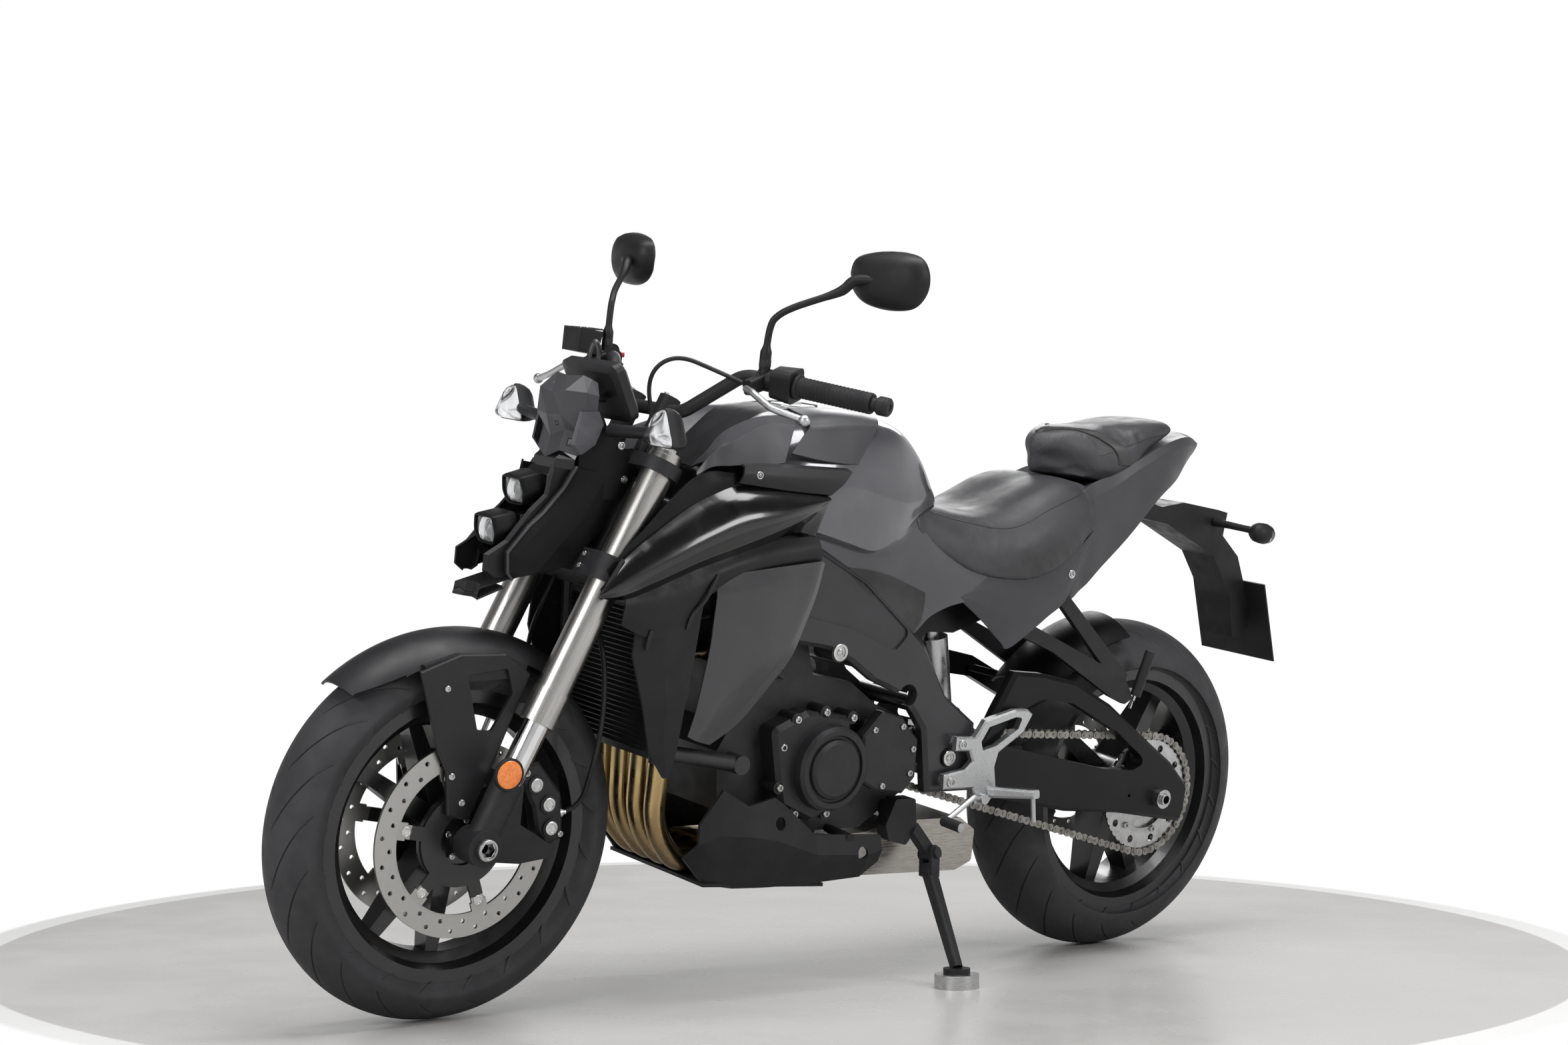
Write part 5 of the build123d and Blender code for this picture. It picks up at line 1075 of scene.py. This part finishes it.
lens_flats = [(90, 20), (270, 19), (14, 26.5), (166, 26.5), (-30, 26), (210, 26)]
panes, bowls, projectors, hoods = [], [], [], []
for top_x, low_x, back_x, middle_z, half_z in ((1388, 1377, 1352.6, 837.5, 20),
                                               (1432, 1424, 1394.6, 775, 19.5)):
    middle = np.array([(top_x + low_x) / 2, 0, middle_z])
    face = middle, unit([2 * half_z, 0, low_x - top_x]), (top_x - low_x, 0, 2 * half_z), lens_flats, 14
    back = back_x - middle[0]
    panes.append(moulded(*face, [(-3.4, 0), (-3.4, 0.97), (-2, 1.0), (-0.8, 0.98), (0, 0.9), (0.3, 0.5),
                                 (0.4, 0)], 64))
    bowls.append(moulded(middle, forward, skyward, lens_flats, 14,
                         [(-7, 0.96), (-9, 0.86), (-14, 0.78), (back + 8, 0.5), (back + 2, 0.3),
                          (back + 1, 0)], 64))
    projectors.append(turned([(back + 1, 0), (back + 1, 13), (-13, 15.5), (-11, 15.5), (-10, 14), (-8, 9),
                              (-7, 0)], middle, forward, 40))
    hoods.append(moulded(*face, [(-40, 1.2), (-36, 1.26), (-4, 1.22), (1.5, 1.18), (2.5, 1.14), (2.5, 1.06),
                                 (1, 1.02), (-5, 1.0), (-40, 0.98)], 72))
for name, shapes, finish in (("headlight_panes", panes, clear_lens),
                             ("headlight_bowls", bowls, reflector_chrome),
                             ("headlight_projectors", projectors, smoked_lens)):
    piece(name, joined(shapes), finish, "steering", ["headlight_lenses"])
piece("lamp_hoods", joined(hoods), deep_black, "steering")

red_lens = Finish("red_lens", "lens_clear", coat=0.9)
red_lens.colours(shade(0.32, 0.004, 0.004), shade(0.45, 0.01, 0.008), 200)
red_lens.sheen_of(0.08, 0.16).grain(240, 0.0004, kind="pebble")
rear_signal = (-185, 146, 822), unit([-55, 0, -7]), 44
rear_shell = turned([(0, 0), (0, 8), (4, 14), (12, 18.4), (24, 19.8), (34, 19.8), (35, 18.6), (30, 17),
                     (30, 0)], *rear_signal)
rear_stalk = tube([(-190, 43.5, 826), (-194, 80, 825), (-200, 112, 823), (-203, 132, 822)],
                  [8, 7, 6.6, 7], 20)
rear_glass = turned([(31, 0), (31, 17.6), (36, 18.6), (44, 17.6), (51, 13), (54.6, 6), (55, 0)], *rear_signal)
tail_glass = moulded((-82, 0, 962), (-0.83, 0, -0.56), (-0.56, 0, 0.83), oblong(37, 11), 6,
                     [(-8, 0), (-8, 0.9), (-1, 0.98), (2.5, 0.94), (4, 0.7), (4.4, 0)])
piece("rear_signal_housings", both(joined([rear_shell, rear_stalk])), matt_black, replaced=["rear_lamps"])
piece("rear_signal_lenses", both(rear_glass), smoked_lens, replaced=["rear_lamps"])
piece("tail_lamp", tail_glass, red_lens, replaced=["rear_lamps"])

plate_way, plate_up = np.array([-0.944, 0, 0.33]), np.array([0.33, 0, 0.944])
plate_middle = np.array([-323.5, 0, 636]) + plate_way * 2.1
plate_white = plastic("blank_plate", 0.55, 0.62, 0.3, 0.42, 500, 0.00003, edge_highlight=0.1)
plate = moulded(plate_middle, plate_way, plate_up, oblong(90, 70), 16,
                [(0, 0), (0, 1), (0.9, 1), (1.3, 0.99), (1.3, 0.955), (0.8, 0.945), (0.8, 0)], 96)
piece("blank_plate", plate, plate_white)
plate_screw_places = [plate_middle + plate_up * 52 + plate_way * 0.8 + (0, y, 0) for y in (-60, 60)]
hardware("plate_screws", screws(plate_screw_places, plate_way, 5, 2.5), twin=False)

# ---------------------------------------------------------------- radiator core
def core_face(z):
    """Place of the core's front face ahead of the rear axle: it leans forward as it rises."""
    return 1165.6 + (z - 428) * 13 / 244


row_z = np.linspace(438, 662, 28)
tooth_y = np.linspace(-116, 116, 186)
fins = []
for low, high in zip(row_z, row_z[1:]):
    zigzag = np.where(np.arange(len(tooth_y)) % 2, high - 1.0, low + 1.0)
    sheet = np.stack([np.stack([core_face(zigzag) + ahead_by, tooth_y, zigzag], -1)
                      for ahead_by in (-0.4, 1.2)])
    fins.append((sheet.reshape(-1, 3), grid(2, len(tooth_y))))
piece("radiator_fins", joined(fins), radiator_fins, smooth=False)
flat_tubes = [moulded((core_face(z), 0, z), forward, skyward, oblong(118, 1.1), 10,
                      [(-0.5, 0), (-0.5, 1), (1.6, 1), (1.9, 0.9), (1.9, 0)], 24) for z in row_z]
piece("radiator_tubes", joined(flat_tubes), radiator_fins)

# ---------------------------------------------------------------- footrests and tank cap
peg_start, peg_end = np.array([449.0, 180, 362.6]), np.array([426.5, 250, 373])
peg_teeth = [moulded(peg_start + (peg_end - peg_start) * share - (0, 0, 3.4), (0, -0.13, 1), forward,
                     oblong(1.8, 11.5 - 2.2 * share), 6, [(0, 0), (0, 1), (2.6, 0.9), (3.4, 0.6), (3.4, 0)],
                     20)
             for share in np.linspace(0.04, 0.96, 11)]
piece("peg_teeth", both(joined(peg_teeth)), grip_rubber)
toe_at = np.linspace(0, 40, 90)
toe_ribs = np.column_stack([toe_at, 9.0 + 0.5 * np.tanh(2 * np.sin(toe_at * 1.5))])
toe_profile = np.concatenate([[(0, 7)], toe_ribs, [(41, 7.5), (41.4, 0)]])
piece("pedal_rubbers", both(turned(toe_profile, (572, 186, 309), unit([-4, 44, -3]), 36)), grip_rubber)

cap_angles = np.radians(30 + 60 * np.arange(6))
hardware("fuel_cap_screws", screws([(845 + 47 * np.cos(a), 47 * np.sin(a), 996.2) for a in cap_angles],
                                   skyward, 3.2, 2), twin=False)
cap_flap = moulded((845, 0, 1000), skyward, forward, oblong(9, 16), 4,
                   [(-1, 0), (-1, 1), (2.2, 0.96), (3.4, 0.8), (3.8, 0.3), (3.8, 0)])
piece("fuel_cap_flap", cap_flap, silver_cast)


# ---------------------------------------------------------------- hoses and cable
def hose(name, route, width, node_name):
    """Round hose on a smooth curve with its route's corners as control points."""
    curve = bpy.data.curves.new(name, "CURVE")
    curve.dimensions = "3D"
    spline = curve.splines.new("NURBS")
    points = placed(route)
    spline.points.add(len(points) - 1)
    spline.points.foreach_set("co", np.column_stack([points, np.ones(len(points))]).ravel())
    spline.order_u = 3
    spline.use_endpoint_u = True
    spline.resolution_u = 16
    curve.bevel_depth = width / 2000
    curve.bevel_resolution = 4
    curve.use_fill_caps = True
    made = attached(linked(name, curve), hose_rubber, "steering", [node_name])


yoke_top, yoke_low = 662.3, 447.7
hose("clutch_cable_sleeve",
     [(1106.6, 211.8, 1036.4), (1130, 165, 1052), (1180, 112, 1074), (1210, 82, 1034),
      at_fork(20, 75, yoke_top + 46), at_fork(20, 75, yoke_top)], 7, "clutch_cable")
hose("master_hose",
     [(1106.9, -211.3, 1036.8), (1130, -165, 1056), (1184, -110, 1084), (1214, -82, 1036),
      at_fork(20, -75, yoke_top + 46), at_fork(20, -75, yoke_top)], 8, "brake_hoses")
for hand, side_name in hands:
    hose(side_name + "_caliper_hose",
         [at_fork(-30, hand * 72, yoke_low), at_fork(-30, hand * 72, yoke_low - 44),
          (1258, hand * 112, 590), (1256, hand * 120, 490), (1262, hand * 106, 400),
          (1263, hand * 84, 343.3), (1301, hand * 84, 338)], 8, "brake_hoses")
banjo = turned([(-0.2, 0), (-0.2, 7.5), (5, 7.5), (6, 6.5), (6, 4.4), (12, 4.6), (12, 0)], (1301, 84, 338),
               (-1, 0, 0.14), 28)
hardware("hose_ends", [banjo], "steering")


# ---------------------------------------------------------------- seats
voxel_size, seat_shrink, seat_reach = 0.005, 0.0025, 0.003


def vertex_values(mesh, kind="co"):
    """Every vertex's place or normal as an array."""
    values = np.empty(len(mesh.vertices) * 3)
    mesh.vertices.foreach_get(kind, values)
    return values.reshape(-1, 3)


def stuffed(name, node_name, shape):
    """Padded cover simulated from its foam's form: it starts smaller, swells, and may move only so far."""
    made = linked(name, welded(name, shape))
    bpy.context.view_layer.objects.active = made
    for other in bpy.context.selected_objects:
        other.select_set(False)
    made.select_set(True)
    remesh = made.modifiers.new("remesh", "REMESH")
    remesh.mode, remesh.voxel_size = "VOXEL", voxel_size
    relax = made.modifiers.new("relax", "SMOOTH")
    relax.iterations, relax.factor = 6, 0.5
    for modifier in ("remesh", "relax"):
        bpy.ops.object.modifier_apply(modifier=modifier)
    mesh = made.data
    normal = vertex_values(mesh, "normal")
    start = vertex_values(mesh) - normal * seat_shrink
    mesh.vertices.foreach_set("co", start.ravel())
    cloth = made.modifiers.new("cloth", "CLOTH")
    cloth.settings.quality = 5
    cloth.settings.mass = 0.3
    cloth.settings.use_pressure = True
    cloth.settings.uniform_pressure_force = 4
    cloth.settings.effector_weights.gravity = 0
    cloth.point_cache.frame_start, cloth.point_cache.frame_end = 1, 20
    for frame_number in range(1, 21):
        scene.frame_set(frame_number)
    swollen = made.evaluated_get(bpy.context.evaluated_depsgraph_get())
    moved = vertex_values(swollen.to_mesh()) - start
    swollen.to_mesh_clear()
    made.modifiers.clear()
    scene.frame_set(1)
    moved *= np.minimum(1, seat_reach / np.maximum(np.linalg.norm(moved, axis=1, keepdims=True), 1e-9))
    mesh.vertices.foreach_set("co", (start + moved).ravel())
    mesh.update()
    mesh.shade_smooth()
    finer = made.modifiers.new("finer", "SUBSURF")
    finer.levels = finer.render_levels = 1
    attached(made, seat_vinyl, "chassis", [node_name])
    return made


rider_foam = stations(
    (659, [(0, 826)] * 7),
    (656, [(0, 842), (52, 842), (98, 840), (118, 828), (124, 812), (104, 808), (0, 808)]),
    (625, [(0, 846), (52, 847), (100, 845), (126, 822), (134, 790), (116, 784), (0, 790)]),
    (580, [(0, 843), (52, 844), (100, 838), (131, 806), (140, 763), (122, 757), (0, 765)]),
    (530, [(0, 838), (56, 838), (106, 828), (137, 788), (146, 741), (128, 735), (0, 745)]),
    (480, [(0, 835), (60, 835), (113, 823), (143, 780), (149, 729), (130, 723), (0, 735)]),
    (430, [(0, 842), (64, 843), (119, 830), (148, 782), (151, 725), (132, 719), (0, 735)]),
    (380, [(0, 862), (66, 864), (121, 849), (150, 795), (151, 727), (132, 721), (0, 740)]),
    (330, [(0, 884), (68, 887), (119, 872), (149, 812), (149, 740), (130, 734), (0, 755)]),
    (285, [(0, 898), (66, 900), (113, 888), (144, 830), (145, 764), (126, 758), (0, 775)]),
    (245, [(0, 900), (62, 901), (104, 892), (136, 848), (138, 795), (118, 790), (0, 800)]),
    (218, [(0, 896), (54, 897), (90, 890), (118, 862), (122, 828), (104, 824), (0, 830)]),
    (214, [(0, 860)] * 7))
pillion_foam = stations(
    (288, [(0, 938)] * 7),
    (285, [(0, 958), (34, 957), (58, 948), (70, 928), (70, 910), (58, 905), (0, 905)]),
    (273, [(0, 979), (42, 978), (72, 966), (88, 932), (88, 900), (74, 897), (0, 903)]),
    (245, [(0, 989), (48, 988), (82, 975), (97, 938), (97, 896), (84, 893), (0, 901)]),
    (180, [(0, 994), (50, 993), (86, 982), (99, 946), (99, 905), (86, 899), (0, 899)]),
    (130, [(0, 1002), (50, 1001), (84, 991), (97, 959), (97, 927), (84, 921), (0, 921)]),
    (70, [(0, 1011), (48, 1010), (78, 1002), (92, 981), (92, 957), (80, 952), (0, 952)]),
    (10, [(0, 1016), (42, 1015), (68, 1010), (82, 998), (82, 984), (70, 980), (0, 980)]),
    (-28, [(0, 1014), (30, 1013), (46, 1010), (58, 1003), (58, 997), (48, 993), (0, 993)]),
    (-34, [(0, 1003)] * 7))
pillion_foam = np.array(pillion_foam, float)
# The front is round in plan: a point goes back by the square of its share of the half width.
pillion_foam[..., 0] -= (145 * (pillion_foam[..., 1] / 95) ** 2
                         * np.clip((pillion_foam[..., 0] - 60) / 226, 0, 1))
rider_cover = stuffed("rider_seat_cover", "rider_seat", both(solid_of(spread(rider_foam, (4,)))))
pillion_cover = stuffed("pillion_seat_cover", "pillion_seat", both(solid_of(spread(pillion_foam, (4,)))))


def laid_on(cover, starts, ways):
    """Points where rays from outside meet a cover, leaving out the rays that miss."""
    surface = BVHTree.FromObject(cover, bpy.context.evaluated_depsgraph_get())
    found = [surface.ray_cast(Vector(start), Vector(way))[0]
             for start, way in zip(placed(starts), ways @ axes)]
    return (np.array([point for point in found if point is not None]) - foot) @ axes.T * 1000


def seam(name, cover, starts, way, radius):
    """Sewn welt laid on a cover, with its path evened out over seven of its points."""
    hits = laid_on(cover, starts, np.broadcast_to(np.array(way, float), starts.shape))
    finely = np.linspace(0, len(hits) - 1, 4 * len(hits))
    path = np.stack([np.interp(finely, np.arange(len(hits)), line) for line in hits.T])
    path = np.pad(path, ((0, 0), (3, 3)), mode="edge")
    path = np.stack([np.convolve(line, np.ones(7) / 7, "valid") for line in path], -1)
    piece(name, tube(path, radius, 8), piping)


for hand, side_name in hands:
    for seat, cover, start_x, end_x, count, aside, knots, heights, radius in (
            ("rider", rider_cover, 620, 250, 40, 260,
             (250, 330, 430, 530, 620), (935, 905, 865, 880, 900), 1.1),
            ("pillion", pillion_cover, 180, -10, 36, 220,
             (-10, 60, 120, 180), (1050, 1036, 1018, 1000), 1.0)):
        seam_x = np.linspace(start_x, end_x, count)
        outside = np.column_stack([seam_x, np.full(count, hand * aside), eased(seam_x, knots, heights)])
        seam(f"{side_name}_{seat}_seam", cover, outside, (0, -0.93 * hand, -0.36), radius)

strap_count, strap_middle_z, strap_thickness = 60, 932, 3.5
strap_turn = np.linspace(0, np.pi, strap_count)
strap_way = np.column_stack([np.zeros(strap_count), np.cos(strap_turn), np.sin(strap_turn)])
strap_rows = []
for lead, lift in ((-14, 0.6), (-12, 2.6), (0, 3.2), (12, 2.6), (14, 0.6)):
    strap_x = 256 - 128 * np.cos(strap_turn) ** 2 + lead
    middle = np.column_stack([strap_x, np.zeros(strap_count), np.full(strap_count, strap_middle_z)])
    outside = middle + 240 * strap_way
    strap_rows.append(laid_on(pillion_cover, outside, -strap_way) + lift * strap_way)
strap = np.stack(strap_rows)
strap = np.concatenate([strap, strap[::-1] - strap_thickness * strap_way])
piece("pillion_strap", (strap.reshape(-1, 3), grid(len(strap), strap_count, wrap_rows=True)), piping)

# ---------------------------------------------------------------- floor and light
stage_floor = bpy.data.meshes.new("floor")
stage_floor.from_pydata([(-30, -30, 0), (30, -30, 0), (30, 30, 0), (-30, 30, 0)], [], [(0, 1, 2, 3)])
linked("floor", stage_floor)


def seen_directly(tree):
    """One for what the camera, metal and glass see, and nought for what lights the object."""
    ray = node(tree, "LightPath").outputs
    mirrored_or_straight = calculated(tree, "MAXIMUM", ray["Is Camera Ray"], ray["Is Glossy Ray"])
    return calculated(tree, "MAXIMUM", mirrored_or_straight, ray["Is Transmission Ray"])


turntable, turntable_radius = (-0.249, -0.545, 0.0), 1.488
floor_finish = Finish("pale_floor")
tree = floor_finish.tree
distance = vector(tree, "LENGTH", vector(tree, "SUBTRACT", floor_finish.where, turntable)[0])["Value"]
speck = noise(tree, floor_finish.where, 2.2, 6)
near_colour = blended(tree, speck, shade(0.42, 0.412, 0.402), shade(0.48, 0.472, 0.462))
edge = ranged(tree, distance, turntable_radius - 0.004, turntable_radius + 0.004, 0, 1)
floor_finish.paint(blended(tree, edge, near_colour, shade(0.74, 0.735, 0.73)))
floor_finish.sheen_of(0.22, 0.34, 4)
beyond = ranged(tree, distance, turntable_radius + 0.05, turntable_radius + 0.075, 0, 1)
white_share = calculated(tree, "MULTIPLY", beyond, seen_directly(tree))
white = node(tree, "Emission", {"Color": shade(1.0)}).outputs[0]
shown = node(tree, "MixShader", {0: white_share, 1: floor_finish.shader.outputs[0], 2: white})
tree.links.new(shown.outputs[0], tree.nodes["Material Output"].inputs["Surface"])
stage_floor.materials.append(floor_finish.material)

world = bpy.data.worlds.new("studio")
scene.world = world
world.use_nodes = True
studio = world.node_tree
studio.nodes.clear()
ray_way = node(studio, "TexCoord").outputs["Generated"]
ray_height = node(studio, "SeparateXYZ", {"Vector": ray_way}).outputs["Z"]
reflected = blended(studio, ranged(studio, ray_height, 0.16, 0.5, 0, 1), shade(0.66), shade(0.10))
ray = node(studio, "LightPath").outputs
room = blended(studio, ray["Is Glossy Ray"], shade(0.34), reflected)
direct = calculated(studio, "MAXIMUM", ray["Is Camera Ray"], ray["Is Transmission Ray"])
sky = node(studio, "Background", {"Color": blended(studio, direct, room, shade(1.0))})
studio.links.new(sky.outputs[0], node(studio, "OutputWorld").inputs["Surface"])


def softbox(name, place, aim, width, depth, power):
    """Rectangular lamp that faces a point."""
    lamp = bpy.data.lights.new(name, "AREA")
    lamp.shape, lamp.size, lamp.size_y, lamp.energy = "RECTANGLE", width, depth, power
    made = linked(name, lamp)
    made.location = place
    made.rotation_euler = (Vector(aim) - Vector(place)).to_track_quat("-Z", "Y").to_euler()


softbox("top_light", (0.2, 0.6, 3.4), (0, 0, 0.5), 3.4, 1.3, 120)
softbox("left_light", (-1.4, 4.0, 2.4), (0, 0, 0.6), 2.2, 1.0, 75)
softbox("front_light", (4.2, 1.0, 2.2), (0.3, 0, 0.6), 1.8, 1.2, 60)
softbox("back_light", (-2.6, -2.6, 2.6), (0, 0, 0.7), 2.0, 1.0, 50)
